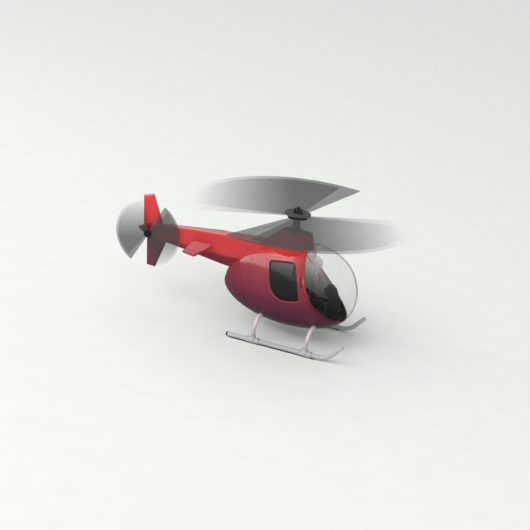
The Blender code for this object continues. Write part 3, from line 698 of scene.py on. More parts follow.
def varied(tree, grain, low, high):
    """A noise's usual range spread between two levels."""
    return spread_over(tree, grain, 0.3, 0.7, low, high)


def ramp(tree, factor, stops):
    """Colour ramp with stops of (place, display colour)."""
    made = node(tree, "ShaderNodeValToRGB", {0: factor})
    elements = made.color_ramp.elements
    while len(elements) < len(stops):
        elements.new(0.5)
    for element, stop in zip(elements, stops):
        element.position = stop[0]
    for element, stop in zip(elements, stops):
        element.color = linear(*stop[1])
    return made.outputs[0]


def noise(tree, place, scale, detail=3.0):
    inputs = {"Vector": place, "Scale": scale, "Detail": detail}
    return node(tree, "ShaderNodeTexNoise", inputs).outputs["Fac"]


def bump(tree, height, strength, distance):
    inputs = {"Height": height, "Strength": strength, "Distance": distance * MILLIMETRE}
    return node(tree, "ShaderNodeBump", inputs).outputs[0]


def axis_of(tree, vector, axis):
    return node(tree, "ShaderNodeSeparateXYZ", {0: vector}).outputs[axis]


def mixed(tree, factor, first, second):
    inputs = {"Factor": factor, 6: first, 7: second}
    return node(tree, "ShaderNodeMix", inputs, data_type="RGBA").outputs[2]


def tinted(tree, colour, tint):
    inputs = {0: colour, 1: tint}
    return node(tree, "ShaderNodeVectorMath", inputs, operation="MULTIPLY").outputs[0]


def worn(tree, colour, place, amount, lighter):
    """Lighten a colour along convex edges and in faint specks."""
    pointed = node(tree, "ShaderNodeNewGeometry").outputs["Pointiness"]
    edge = calc(tree, "MULTIPLY", spread_over(tree, pointed, 0.515, 0.6),
                noise(tree, place, 900.0))
    return mixed(tree, calc(tree, "MULTIPLY", edge, amount), colour, linear(*lighter))


def material(name, recipe, *values, **settings):
    """Material whose recipe returns its shader's inputs.

    The recipe is given the rest position in metres, which rides along with a moving piece.
    """
    made = bpy.data.materials.new(name)
    made.use_nodes = True
    tree = made.node_tree
    tree.nodes.clear()
    place = node(tree, "ShaderNodeTexCoord").outputs["Object"]
    shader = node(tree, "ShaderNodeBsdfPrincipled", recipe(tree, place, *values, **settings))
    node(tree, "ShaderNodeOutputMaterial", {"Surface": shader.outputs[0]})
    return made


def gloss_paint(tree, place, stops, low, high, slope=0.0, top=None):
    """Gloss lacquer whose colour fades with height between two levels in millimetres; much of
    that fade is painted light from above and painted shade below.

    A sideways lean tilts the fade, so the left-hand side is the brighter one, as painted light
    from the left.  A top colour goes on the faces that look up as a painted highlight.
    """
    # the lean is painted light: the left-hand side brighter, as if lit from the left
    lean = calc(tree, "MULTIPLY", axis_of(tree, place, Y), slope)
    height = calc(tree, "ADD", axis_of(tree, place, Z), lean)
    cloud = noise(tree, place, 14.0, 2.0)
    height = calc(tree, "ADD", height, varied(tree, cloud, -0.0015, 0.0015))
    colour = ramp(tree, spread_over(tree, height, low * MILLIMETRE, high * MILLIMETRE), stops)
    # a top colour is a painted highlight on the faces that look up
    if top:
        normal = node(tree, "ShaderNodeNewGeometry").outputs["True Normal"]
        painted_top_highlight = spread_over(tree, axis_of(tree, normal, Z), 0.6, 0.75)
        colour = mixed(tree, painted_top_highlight, colour, linear(*top))
    speck = noise(tree, place, 5200.0, 1.0)
    colour = tinted(tree, colour, spread_over(tree, speck, 0.35, 0.65, 0.94, 1.06))
    return {
        "Base Color": worn(tree, colour, place, 0.35, (226, 120, 118)),
        "Roughness": varied(tree, cloud, 0.315, 0.4),
        "Specular IOR Level": 0.12,
        "Coat Weight": 1.0,
        "Coat IOR": 1.35,
        "Coat Roughness": 0.07,
        "Normal": bump(tree, noise(tree, place, 420.0, 2.0), 0.08, 0.05),
    }


def plastic(tree, place, colour, roughness, grain=1500.0, strength=0.15, shade=0.12,
            edge=(150, 150, 148), wear=0.25):
    """Moulded or painted surface with fine grain, slight mottling and paler edges."""
    fine = noise(tree, place, grain)
    tint = varied(tree, noise(tree, place, 60.0, 2.0), 1 - shade, 1 + shade)
    base = tinted(tree, linear(*colour)[:3], tint)
    return {
        "Base Color": worn(tree, base, place, wear, edge),
        "Roughness": varied(tree, fine, roughness * 0.85, roughness * 1.15),
        "Normal": bump(tree, fine, strength, 0.06),
    }


# Painted cabin shade from floor to roof, for the walls and seats and for the console, and the
# glow that stands in for the light that comes in all round through the bubble
CABIN_SHADE_GREYS = [(0.0, (12, 13, 11)), (0.288, (13, 14, 12)), (0.296, (60, 62, 58)),
               (0.37, (76, 79, 75)), (0.52, (116, 118, 115)), (0.8, (186, 181, 183)),
               (1.0, (206, 206, 206))]
CONSOLE_SHADE_GREYS = [(0.0, (14, 14, 12)), (0.288, (14, 14, 12)), (0.296, (44, 44, 41)),
                 (0.5, (62, 62, 58))]
CABIN_GLOW = 0.62


def cabin_shade(tree, place, greys=CABIN_SHADE_GREYS):
    """Painted shade: grey that deepens towards the floor and, less steeply, towards the
    right-hand side, as if the light fell in from the left.
    """
    lean = calc(tree, "MULTIPLY", axis_of(tree, place, Y), 0.55)
    height = calc(tree, "ADD", axis_of(tree, place, Z), lean)
    return ramp(tree, spread_over(tree, height, 0.04, 0.14), greys)


def faces_cabin(tree, place):
    """1 where a side skin looks inwards, 0 where it looks out."""
    normal = node(tree, "ShaderNodeNewGeometry").outputs["True Normal"]
    outward = calc(tree, "MULTIPLY", axis_of(tree, normal, Y), axis_of(tree, place, Y))
    return calc(tree, "LESS_THAN", outward, 0.0)


def glowing(colour, strength=CABIN_GLOW):
    """Shader inputs of a faint glow in a surface's own colour, standing in for light on it."""
    return {"Emission Color": colour, "Emission Strength": strength}


def lining(tree, place):
    """Cabin wall in painted shade: pale grey under the roof, fading to near black at the floor."""
    grain = noise(tree, place, 1800.0, 4.0)
    colour = cabin_shade(tree, place)
    return glowing(colour) | {
        "Base Color": colour,
        "Roughness": varied(tree, grain, 0.55, 0.7),
        "Specular IOR Level": 0.1,
        "Normal": bump(tree, grain, 0.2, 0.08),
    }


def clear_canopy(tree, place):
    """Clear moulding, nearly invisible face on; its dark rim at a grazing view is painted shade."""
    facing = node(tree, "ShaderNodeLayerWeight", {"Blend": 0.5}).outputs["Facing"]
    # the painted dark rim widens towards the top
    painted_rim_widening = spread_over(tree, axis_of(tree, place, Z), 0.085, 0.13, 0.0, 0.09)
    rim = spread_over(tree, calc(tree, "ADD", facing, painted_rim_widening), 0.82, 0.88)
    smear = noise(tree, place, 40.0, 2.0)
    face = calc(tree, "SUBTRACT", 1.0, rim)
    return {
        "Base Color": ramp(tree, face, [(0.0, (40, 40, 42)), (1.0, (104, 104, 100))]),
        "Roughness": varied(tree, smear, 0.03, 0.06),
        "Alpha": calc(tree, "ADD", varied(tree, smear, 0.03, 0.05),
                      calc(tree, "MULTIPLY", rim, 0.94)),
        "Specular IOR Level": 0.35,
    }


def tinted_window(tree, place):
    """Smoked side window, greyer towards its top edge as a painted reflection; its cabin side
    takes the painted cabin shade and glow.
    """
    share = spread_over(tree, axis_of(tree, place, Z), 0.05, 0.112)
    # the paler grey towards the top is a painted reflection
    smoke = ramp(tree, share, [(0.0, (30, 28, 29)), (0.55, (40, 40, 38)), (0.8, (52, 53, 51)),
                               (1.0, (92, 91, 89))])
    smear = noise(tree, place, 60.0, 2.0)
    inside = faces_cabin(tree, place)
    shade = cabin_shade(tree, place)
    return glowing(shade, calc(tree, "MULTIPLY", inside, CABIN_GLOW)) | {
        "Base Color": mixed(tree, inside, smoke, shade),
        "Roughness": varied(tree, smear, 0.05, 0.1),
        "Alpha": varied(tree, smear, 0.9, 0.94),
        "Specular IOR Level": 0.12,
    }


def window_rubber(tree, place):
    """Grained black seal whose cabin side takes the lining's painted shade and glow."""
    grain = noise(tree, place, 1500.0)
    inside = faces_cabin(tree, place)
    shade = cabin_shade(tree, place)
    black = ramp(tree, grain, [(0.3, (21, 21, 20)), (0.7, (27, 27, 26))])
    outside = worn(tree, black, place, 0.15, (70, 70, 68))
    return glowing(shade, calc(tree, "MULTIPLY", inside, CABIN_GLOW)) | {
        "Base Color": mixed(tree, inside, outside, shade),
        "Roughness": varied(tree, grain, 0.5, 0.7),
        "Normal": bump(tree, grain, 0.15, 0.06),
    }


def console_plastic(tree, place):
    """Grained moulding in painted cabin shade: dark grey at the gauges and black below them."""
    grain = noise(tree, place, 2200.0)
    colour = cabin_shade(tree, place, CONSOLE_SHADE_GREYS)
    return {
        "Base Color": worn(tree, colour, place, 0.15, (120, 120, 118)),
        "Roughness": varied(tree, grain, 0.5, 0.7),
        "Normal": bump(tree, grain, 0.3, 0.06),
    }


def alloy(tree, place, part, axis, stops, edge):
    """Painted alloy tube, lighter or darker along one axis of a CAD node: painted light and shade."""
    low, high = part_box(part)
    fine = noise(tree, place, 1500.0)
    share = spread_over(tree, axis_of(tree, place, axis), low[axis], high[axis])
    return {
        "Base Color": worn(tree, ramp(tree, share, stops), place, 0.25, edge),
        "Roughness": varied(tree, fine, 0.36, 0.48),
        "Metallic": 0.05,
        "Normal": bump(tree, fine, 0.15, 0.06),
    }


def fan_film(tree, place, centre, axes, lead, turn, fade_axis, fade, radius, inner_span,
             cover, grey):
    """Smoke film in two layers that fades to clear along a straight line across the fan.

    axes are the two coordinates of the fan's plane, lead is the blade's angle and turn
    the way the fan lies behind it.  fade holds the distances, away from fade_axis, where
    the fading starts and ends.  The inner layer covers inner_span, in degrees behind the
    blade, and stops short of the rim.
    """
    across, up = (calc(tree, "SUBTRACT", axis_of(tree, place, axis), centre[axis])
                  for axis in axes)
    angle = calc(tree, "ARCTAN2", up, across)
    behind = calc(tree, "MULTIPLY", calc(tree, "SUBTRACT", angle, math.radians(lead)), turn)
    behind = calc(tree, "FLOORED_MODULO", behind, math.pi)
    squares = (calc(tree, "MULTIPLY", value, value) for value in (across, up))
    distance = calc(tree, "SQRT", calc(tree, "ADD", *squares))
    own = calc(tree, "ADD", calc(tree, "MULTIPLY", behind, turn), math.radians(lead - fade_axis))
    along = product(tree, distance, -1.0, calc(tree, "COSINE", own))
    share = spread_over(tree, along, fade[0] * MILLIMETRE, fade[1] * MILLIMETRE, 1.0, 0.0)
    reach = calc(tree, "DIVIDE", distance, radius * MILLIMETRE)
    first, last = (math.radians(angle) for angle in inner_span)
    inner = product(tree, spread_over(tree, reach, 0.945, 0.935),
                    spread_over(tree, behind, first - 0.005, first + 0.005),
                    spread_over(tree, behind, last + 0.005, last - 0.005))
    layers = [calc(tree, "SUBTRACT", 1.0, product(tree, share, alpha, mask))
              for alpha, mask in zip(cover, (1.0, inner))]
    clear = calc(tree, "SQRT", calc(tree, "MULTIPLY", *layers))
    brush = noise(tree, place, 300.0, 2.0)
    return {
        "Base Color": ramp(tree, brush, [(0.3, (grey - 3,) * 3), (0.7, (grey + 3,) * 3)]),
        "Roughness": varied(tree, brush, 0.4, 0.5),
        "Alpha": calc(tree, "SUBTRACT", 1.0, clear),
        "Specular IOR Level": 0.06,
    }


def blade_film(tree, place, alpha):
    """The fan's smoke tint on the solid blade."""
    brush = noise(tree, place, 240.0)
    return {
        "Base Color": ramp(tree, brush, [(0.3, (80, 80, 80)), (0.7, (86, 86, 86))]),
        "Roughness": varied(tree, brush, 0.35, 0.45),
        "Alpha": alpha,
        "Specular IOR Level": 0.12,
        "Normal": bump(tree, brush, 0.05, 0.05),
    }


def seat_fabric(tree, place):
    """Grey woven seat cover in painted cabin shade, paler towards the head, with a glow."""
    waves = []
    for direction in ("X", "Z"):
        inputs = {"Vector": place, "Scale": 620.0, "Distortion": 0.4}
        wave = node(tree, "ShaderNodeTexWave", inputs, bands_direction=direction)
        waves.append(wave.outputs["Fac"])
    weave = calc(tree, "MULTIPLY", *waves)
    tint = spread_over(tree, weave, 0.0, 1.0, 0.86, 1.08)
    colour = tinted(tree, cabin_shade(tree, place), tint)
    return glowing(colour) | {
        "Base Color": colour,
        "Roughness": 0.85,
        "Specular IOR Level": 0.1,
        "Sheen Weight": 0.1,
        "Normal": bump(tree, weave, 0.35, 0.12),
    }


def pale_floor(tree, place):
    grain = noise(tree, place, 30.0)
    colour = ramp(tree, grain, [(0.3, (234, 236, 233)), (0.7, (237, 239, 236))])
    return {"Base Color": colour, "Roughness": 0.9, "Specular IOR Level": 0.0}


# Height fades of the lacquers.  The darker low ends of the hull, boom, fins, cone, frame and fairing are partly a
# red to plum fade of the paint and partly painted shade.  The boom's pale top, the frame's brighter left side, the
# bead's light lower edge and the stabiliser's pale top face and dark underside are painted light and shade.
HULL_PAINT = material("hull_paint", gloss_paint, [
    (0.0, (54, 24, 44)), (0.12, (58, 26, 47)), (0.25, (84, 36, 58)), (0.37, (102, 40, 62)),
    (0.46, (120, 45, 62)), (0.57, (134, 48, 62)), (0.66, (150, 48, 58)), (0.78, (180, 52, 58)),
    (0.86, (205, 58, 62)), (1.0, (212, 60, 62))], 15, 137)
BOOM_PAINT = material("boom_paint", gloss_paint, [
    (0.0, (110, 36, 48)), (0.3, (128, 42, 54)), (0.4, (196, 60, 64)), (0.92, (206, 62, 66)),
    (1.0, (214, 78, 80))], 76, 127, top=(226, 130, 132))
FIN_PAINT = material("fin_paint", gloss_paint, [
    (0.0, (110, 50, 72)), (0.35, (122, 54, 66)), (0.6, (200, 60, 64)), (1.0, (222, 66, 68))],
    49, 155)
CONE_PAINT = material("cone_paint", gloss_paint, [
    (0.0, (96, 24, 36)), (1.0, (136, 40, 50))], 92, 113)
BEAD_PAINT_AND_HIGHLIGHT = material("bead_paint_and_highlight", gloss_paint, [
    (0.0, (220, 74, 82)), (0.35, (206, 62, 70)), (1.0, (112, 28, 36))], 38, 94)
FRAME_PAINT = material("frame_paint", gloss_paint, [
    (0.0, (70, 24, 42)), (0.22, (92, 28, 46)), (0.5, (176, 38, 48)), (1.0, (206, 44, 50))],
    20, 125, slope=0.5)
FAIRING_PAINT = material("fairing_paint", gloss_paint, [
    (0.0, (196, 40, 44)), (0.5, (206, 44, 46)), (1.0, (214, 50, 50))], 100, 149)
WING_PAINT_AND_LIGHT = material("wing_paint_and_light", gloss_paint, [
    (0.0, (120, 28, 42)), (0.5, (156, 50, 60)), (1.0, (206, 110, 116))], 100.5, 105.0)
LINING = material("cabin_lining", lining)
CANOPY = material("canopy_clear", clear_canopy)
WINDOW_TINT = material("window_smoke", tinted_window)
WINDOW_RUBBER = material("window_rubber", window_rubber)
RUBBER = material("black_rubber", plastic, (24, 24, 23), 0.6, shade=0.1, edge=(70, 70, 68),
                  wear=0.15)
HUB_BLACK = material("hub_black", plastic, (24, 24, 24), 0.4, edge=(80, 80, 80), wear=0.3)
DISC_GREY = material("disc_grey", plastic, (76, 76, 75), 0.42, edge=(110, 110, 108), wear=0.3)
MAST_GREY = material("mast_grey", plastic, (44, 46, 45), 0.42, edge=(84, 86, 85), wear=0.3)
TRIM_BLACK = material("trim_black", plastic, (26, 26, 24), 0.62, grain=2200.0, strength=0.3)
PEDESTAL = material("pedestal_grey", console_plastic)
SEAT_COVER = material("seat_cover", seat_fabric)
# Painted light and shade: the skid's tone along its length and the cross tubes' paler tops
SKID_ALLOY = material("skid_alloy", alloy, "skid_tube_right", X, [
    (0.0, (184, 186, 185)), (0.4, (178, 180, 179)), (0.75, (180, 182, 181)),
    (1.0, (190, 192, 191))], (214, 215, 213))
TUBE_ALLOY = material("tube_alloy", alloy, "cross_tube_front", Z, [
    (0.0, (184, 174, 176)), (0.35, (190, 178, 181)), (0.9, (232, 214, 218))], (236, 226, 228))

# Cover of the outer and inner layer of each fan where it is darkest
MAIN_COVER = (0.74, 0.65)
TAIL_COVER = (0.68, 0.57)
BLADE_FILM = material("blade_film", blade_film, 1 - math.sqrt(1 - MAIN_COVER[0]))
MAIN_FILM = material("main_fan_film", fan_film, MAST_AXIS, (X, Y), BLADE_ANGLE, 1.0, 20.9,
                     (0, 139), ROTOR_RADIUS, (8.5, 124), MAIN_COVER, 83)
TAIL_FILM = material("tail_fan_film", fan_film, Vector(JOINTS["tail_rotor_spin"]["pos_m"]),
                     (X, Z), TAIL_BLADE_ANGLE, -1.0, 103.7, (-5, 54), TAIL_RADIUS, (4.6, 133),
                     TAIL_COVER, 78)


# ---------------------------------------------------------------- fuselage


def hinge_point(along):
    """Point of the right door's hinge axis, a signed distance up from its middle."""
    joint = JOINTS["right_door_hinge"]
    axis = Vector(joint["axis"])
    axis *= 1 if axis.z > 0 else -1
    return drawn(joint["pos_m"]) + axis.normalized() * along


def hinge_barrel(first, last, radius=KNUCKLE_RADIUS, edge=0.3):
    """Turned barrel on the hinge axis between two stations."""
    length = last - first
    profile = [(0, 0), (radius - edge, 0), (radius, edge), (radius, length - edge),
               (radius - edge, length), (0, length)]
    start = hinge_point(first)
    turn = Vector((0, 0, 1)).rotation_difference(hinge_point(last) - start)
    return moved(lathe(profile, 28), Matrix.Translation(start) @ turn.to_matrix().to_4x4())


def rear_phase(x):
    """Phase of the egg's section at a station behind its widest one."""
    return math.acos(-(x - HULL_MID) / (HULL_MID - HULL_REAR))


def shell_outline():
    """Edge of the right cabin shell: seam, roof line round the mast, windshield, keel."""
    seam = rear_phase(COWL_SEAM + GAP / 2 + RIM)
    slit = 0.008
    roof = math.pi / 2 + slit
    keel = math.pi * 1.5 - slit
    loop = [(seam, angle) for angle in np.linspace(keel, roof, 90)]
    for x in np.linspace(COWL_SEAM + 2.5, -MAST_HOLE, 24, endpoint=False):
        loop.append((rear_phase(x), roof))
    for turn in np.linspace(math.pi, 0, 18):
        place = (MAST_HOLE * math.cos(turn), -MAST_HOLE * math.sin(turn) - 0.2, 160)
        loop.append(cast(place, (0, 0, -1), 60))
    angles = np.linspace(roof, keel, 120)
    line = windshield_phase(angles, -FRAME_WIDTH - 2 * GAP - RIM)
    last = loop[-1][0]
    loop += [(last + (line[0] - last) * share, roof) for share in np.linspace(0, 1, 8)[1:-1]]
    loop += list(zip(line, angles))
    return loop + [(phase, keel) for phase in np.linspace(line[-1], seam, 70)[1:-1]]


def tube_hole(place):
    """Outline of a cross tube's hole on the right flank of the egg."""
    tube = f"cross_tube_{place}"
    radius = half(tube, X) + GAP + RIM
    inward = np.array((0, 6.0, 1.6))
    inward /= np.linalg.norm(inward)
    up = np.array((0, -inward[2], inward[1]))
    start = np.array((middle(tube, X), -TUBE_ENTRY[0], TUBE_ENTRY[1]))
    loop = []
    for turn in np.arange(28) * math.tau / 28:
        rim = start + radius * (math.cos(turn) * np.array((1, 0, 0)) + math.sin(turn) * up)
        loop.append(cast(rim - inward * 8, inward, 40))
    return loop


def window_loop(grow):
    return door_loop(WINDOW, WINDOW_RADIUS, grow, 130)


def make_sides():
    """Cabin shells, doors with their windows, and hinge pins, right and then left."""
    door_hole = door_loop(DOOR, DOOR_RADIUS, GAP - 0.1 + RIM)
    shell = patch([shell_outline(), door_hole, tube_hole("rear"), tube_hole("front")])
    knuckle = KNUCKLE_LENGTH / 2
    outer = knuckle + GAP + KNUCKLE_LENGTH
    fixed = [hinge_barrel(knuckle + GAP, outer), hinge_barrel(-outer, -knuckle - GAP)]
    pin = hinge_barrel(-outer - 0.1, outer + 0.1, 0.9, 0.35)
    light = window_loop(BEAD_WIDTH)
    door = patch([door_loop(DOOR, DOOR_RADIUS, 0.06 - RIM), light])
    seal = patch([window_loop(-GAP - RIM), window_loop(-SEAL_WIDTH + RIM)], 0.9)
    pane = patch([window_loop(-SEAL_WIDTH - 0.1 - RIM)])
    for word, mirror in (("right", False), ("left", True)):
        skin(f"cabin_shell_{word}", "painted", shell, [HULL_PAINT, LINING],
             mirror=mirror, extra=fixed)
        skin(f"door_{word}", "painted", door, [HULL_PAINT, LINING, BEAD_PAINT_AND_HIGHLIGHT],
             mirror=mirror, bead=light, extra=[hinge_barrel(-knuckle, knuckle)])
        skin(f"door_window_seal_{word}", "moulded", seal, [WINDOW_RUBBER],
             mirror=mirror, drop=-0.15)
        skin(f"door_window_{word}", "glazed", pane, [WINDOW_TINT],
             mirror=mirror, drop=0.35)
        piece(f"door_hinge_pin_{word}", "turned", mirrored(pin) if mirror else pin,
              HUB_BLACK)


def make_ends():
    """Rear cowl, windshield frame and bubble: rings of the egg about its long axis."""
    angles = np.arange(144) * math.tau / 144
    nose = np.full(144, math.pi)
    seam = np.full(144, rear_phase(COWL_SEAM - GAP / 2 - RIM))
    skin("engine_cowl", "painted", band(seam, np.zeros(144), 44, angles),
         [HULL_PAINT, LINING])
    rear = windshield_phase(angles, -FRAME_WIDTH - GAP + 0.3)
    front = windshield_phase(angles, -GAP - 0.3)
    skin("windshield_frame", "painted", band(rear, front, 4, angles),
         [FRAME_PAINT, LINING], rim=0.3, drop=-0.2)
    glass = band(windshield_phase(angles, 0.25), nose, 64, angles)
    skin("windshield_bubble", "clear", glass, [CANOPY], wall=1.2, rim=0.25)


def fairing_outline(stations, inset):
    """Whole outline of the fairing at one level, moved in by an inset."""
    right = smooth_curve([(x, -y) for x, y in stations], 5)
    whole = np.vstack([right, right[::-1] * (1, -1)])
    return offset(resample(rounded(whole, 1.2, 3), 120), inset)


def fairing_wall(inset, levels):
    """Rings from below the skin up to just under the top, moved in by a wall thickness."""
    low = fairing_outline(FAIRING_FOOT, inset)
    high = fairing_outline(FAIRING_TOP, inset)
    base = FAIRING_FOOT_Z + FAIRING_FOOT_SLOPE * low[:, 0]
    sunk = []
    for (x, y), z in zip(low, base):
        phase, angle = cast((x, y if abs(y) > 0.01 else 0.01, 170), (0, 0, -1), 90)
        sunk.append((x, y, min(hull(phase, angle)[2] - 0.6, z - 0.5)))
    rings = [sunk]
    for share in (0, *levels):
        flat = low * (1 - share) + high * share
        rise = base * (1 - share) + box("mast_fairing")[1].z * share
        rings.append(np.column_stack([flat, rise]))
    return rings


def make_fairing():
    """Hollow cowl round the mast: outer wall, flat top with a bore, inner wall."""
    bore = 7.8
    wall = 1.4
    top_z = box("mast_fairing")[1].z
    top = fairing_outline(FAIRING_TOP, 0)
    circle = [(bore * math.cos(a), bore * math.sin(a)) for a in np.arctan2(top[:, 1], top[:, 0])]
    lid = [[(x, y, z) for x, y in ring] for ring, z in
           ((offset(top, 0.9), top_z), (circle, top_z), (circle, top_z - wall))]
    rings = fairing_wall(0, (0.25, 0.5, 0.75, 0.96)) + lid + fairing_wall(wall, (0.5, 0.94))[::-1]
    piece("mast_fairing", "painted", loft(rings, closed=True), FAIRING_PAINT, 0.5, 28)


# ---------------------------------------------------------------- tail


def tail_rings(sections, steps):
    """Eight-sided sections, smoothed along the length."""
    rings = []
    for x, side, top, upper, lower, keel in smooth_curve(sections, steps):
        right = [(x, -side * 0.25, top), (x, -side, upper), (x, -side, lower),
                 (x, -side * 0.3, keel)]
        rings.append(right + [(x, -y, z) for x, y, z in reversed(right)])
    return rings


def make_tail():
    piece("tail_boom", "painted", loft(tail_rings(BOOM, 6)), BOOM_PAINT, 0.7, 20)
    piece("tail_cone", "painted", loft(tail_rings(CONE, 4)), CONE_PAINT,
          0.35, 25)
    for fin, outline in (("upper_fin", UPPER_FIN), ("lower_fin", LOWER_FIN)):
        shape = plate(outline, 2 * half(fin, Y), 1.4, 2.4, 1.0)
        piece(fin, "painted", moved(shape, UPRIGHT), FIN_PAINT, 0.3, 15)
    level = Matrix.Translation((0, 0, middle("stabiliser_right", Z)))
    wing = moved(plate(STABILISER, 2 * half("stabiliser_right", Z), 2.0, 1.6, 0.8), level)
    for word, shape in (("right", mirrored(wing)), ("left", wing)):
        piece(f"stabiliser_{word}", "painted", shape, WING_PAINT_AND_LIGHT, 0.3, 15)


# ---------------------------------------------------------------- landing gear


def skid_path(y, z):
    """Middle line of a skid, flat and then turned up at the toe."""
    bend_start = 68.0
    bend = 26.0
    steep = math.radians(50)
    path = [(x, y, z) for x in np.linspace(box("skid_tube_right")[0].x, bend_start, 24)]
    for turn in np.linspace(0, steep, 15)[1:]:
        path.append((bend_start + bend * math.sin(turn), y, z + bend * (1 - math.cos(turn))))
    x, _, z = path[-1]
    return path + [(x + reach * math.cos(steep), y, z + reach * math.sin(steep))
                   for reach in (6.0, 18.0)]


def half_sleeve(radius, bore, first, last, z, opening):
    """Clip round the skid, open below, along the X axis."""
    turns = np.linspace(-opening, math.pi + opening, 36)
    outer = [(radius * math.cos(a), z + radius * math.sin(a)) for a in turns]
    inner = [(bore * math.cos(a), z + bore * math.sin(a)) for a in turns[::-1]]
    return loft([[(x, y, h) for y, h in outer + inner] for x in (first, last)])


def make_gear():
    right_leg = smooth_curve([(-y, z) for y, z in LEG], 5)
    whole = np.vstack([right_leg, right_leg[::-1] * (-1, 1)])
    for place in ("front", "rear"):
        tube = f"cross_tube_{place}"
        path = [(middle(tube, X), y, z) for y, z in whole]
        bar = sweep(path, [half(tube, X)] * len(path), (1, 0, 0), 28)
        piece(tube, "brushed", bar, TUBE_ALLOY, 0.2)
    for word in ("right", "left"):
        skid = f"skid_tube_{word}"
        y = middle(skid, Y)
        z = box("skid_tube_right")[0].z + SKID_RADIUS
        bar = round_bar(skid_path(y, z), SKID_RADIUS, (0, 1, 0), 0.9, 32)
        piece(skid, "brushed", bar, SKID_ALLOY)
        make_skid_wear_parts(word, y, z)
        for place in ("front", "rear"):
            make_saddle(f"skid_saddle_{place}_{word}", y, z)


def make_skid_wear_parts(word, y, z):
    """Rubber cap on the skid's rear end, and the flat shoe under it."""
    cap = f"skid_end_cap_{word}"
    low, high = box(cap)
    length = high.x - low.x
    profile = [(0, 0), (SKID_RADIUS, 0), (SKID_RADIUS, length), (0, length)]
    place = Matrix.Translation((high.x, y, z)) @ Matrix.Rotation(math.radians(-90), 4, "Y")
    piece(cap, "moulded", moved(lathe(rounded(profile, 0.7, 4, False), 40), place),
          RUBBER)
    shoe = f"skid_shoe_{word}"
    width = half(shoe, Y)
    spread = 0.72
    arc = [(width * s / spread, z - (SKID_RADIUS + 0.15) * math.cos(s))
           for s in np.linspace(spread, -spread, 9)]
    section = [(width, 0), (width, 1.2), *arc, (-width, 1.2), (-width, 0)]
    shape = loft([[(x, y + a, h) for a, h in section] for x in (box(shoe)[0].x, box(shoe)[1].x)])
    piece(shoe, "moulded", shape, RUBBER, 0.2)


def make_saddle(saddle, y, z):
    """Clip round the skid with a cuff at each end and a socket for the cross tube."""
    low, high = box(saddle)
    sleeve = half_sleeve(4.3, SKID_RADIUS + 0.12, low.x, high.x, z, 0.48)
    cuffs = [half_sleeve(4.65, SKID_RADIUS + 0.14, x, x + 1.4, z, 0.46)
             for x in (low.x - 0.2, high.x - 1.2)]
    profile = rounded([(0, z), (5.4, z), (5.0, z + 3.6), (3.8, z + 4.8), (3.8, high.z),
                       (2.55, high.z), (2.55, high.z - 1.5), (0, high.z - 1.5)], 0.6, 4, False)
    boss = moved(lathe(profile, 40), Matrix.Translation((middle(saddle, X), 0, 0)))
    shape = moved(joined(sleeve, *cuffs, boss), Matrix.Translation((0, y, 0)))
    piece(saddle, "cast", shape, SKID_ALLOY, 0.15)


# ---------------------------------------------------------------- rotors


def washer(bore, rim, low, high):
    """Square profile to turn, as (radius, height)."""
    return [(bore, high), (rim, high), (rim, low), (bore, low)]


def turned_piece(part, profile, paint=HUB_BLACK, closed=True, radius=0.3, steps=72,
                 place=Matrix()):
    shape = moved(lathe(rounded(profile, radius, 4, closed), steps, closed), place)
    piece(part, "turned", shape, paint, sharp=40)


def make_mast():
    bore = 4.9
    low, high = (corner.z for corner in box("mast_bush"))
    rim = half("mast_bush", X)
    seat = box("mast_fairing")[1].z + GAP
    profile = [(bore, high), (7.6, high), (8.4, high - 0.7), (rim, high - 0.7), (rim, seat),
               (7.4, seat), (7.4, low), (bore, low)]
    turned_piece("mast_bush", profile, MAST_GREY)
    step = high + GAP
    shoulder = box("hub_clamp_plate")[0].z - GAP
    low, high = (corner.z for corner in box("mast_shaft"))
    profile = [(0, high), (2.3, high), (2.3, shoulder), (5.5, shoulder), (5.5, shoulder - 2.6),
               (4.9, shoulder - 3.2), (4.9, step + 5.6), (5.5, step + 4.6), (5.5, step),
               (4.8, step), (4.8, low), (0, low)]
    turned_piece("mast_shaft", profile, MAST_GREY, closed=False)
    low, high = (corner.z for corner in box("mast_stop_collar"))
    turned_piece("mast_stop_collar", washer(5.1, 8, low, high))


def make_hub():
    bore = 2.5
    low, top = (corner.z for corner in box("hub_disc"))
    rim = half("hub_disc", X)
    profile = [(bore, top), (7.4, top), (8.2, top - 0.45), (rim - 2.6, top - 0.45),
               (rim - 1.6, top), (rim, top), (rim, top - 1.3), (9.5, low), (bore, low)]
    turned_piece("hub_disc", profile, DISC_GREY, radius=0.35, steps=96)
    low, high = (corner.z for corner in box("hub_clamp_plate"))
    turned_piece("hub_clamp_plate", washer(bore, half("hub_clamp_plate", X), low, high), steps=80)
    nut = [(0, top + 3.0), (1.35, top + 3.0), (2.0, top + 2.4), (2.0, top + 0.05),
           (0, top + 0.05)]
    for word in ("front", "rear"):
        stud = f"hub_stud_{word}"
        low, high = (corner.z for corner in box(stud))
        rod = lathe(rounded(washer(0, 1, low, high), 0.3, 4, False), 28)
        shape = moved(joined(rod, lathe(nut, 6)), Matrix.Translation((middle(stud, X), 0, 0)))
        piece(stud, "turned", shape, HUB_BLACK, 0.12)


def coned(radius, behind=0.0):
    """Rise above the flat hub part; the film sinks with its angle behind the blade."""
    rise = TIP_RISE * max(0.0, radius - CONE_START) / (ROTOR_RADIUS - CONE_START)
    return rise * (1 - VANE_SAG * ((1 - math.cos(behind)) / 2) ** 2)


def flat(*_):
    """The tail rotor's plates are not coned."""
    return 0.0


def half_chord(radius, chords, ends):
    """Half chord of a blade that widens evenly from its root to its tip."""
    return chords[0] + (chords[1] - chords[0]) * (radius - ends[0]) / (ends[1] - ends[0])


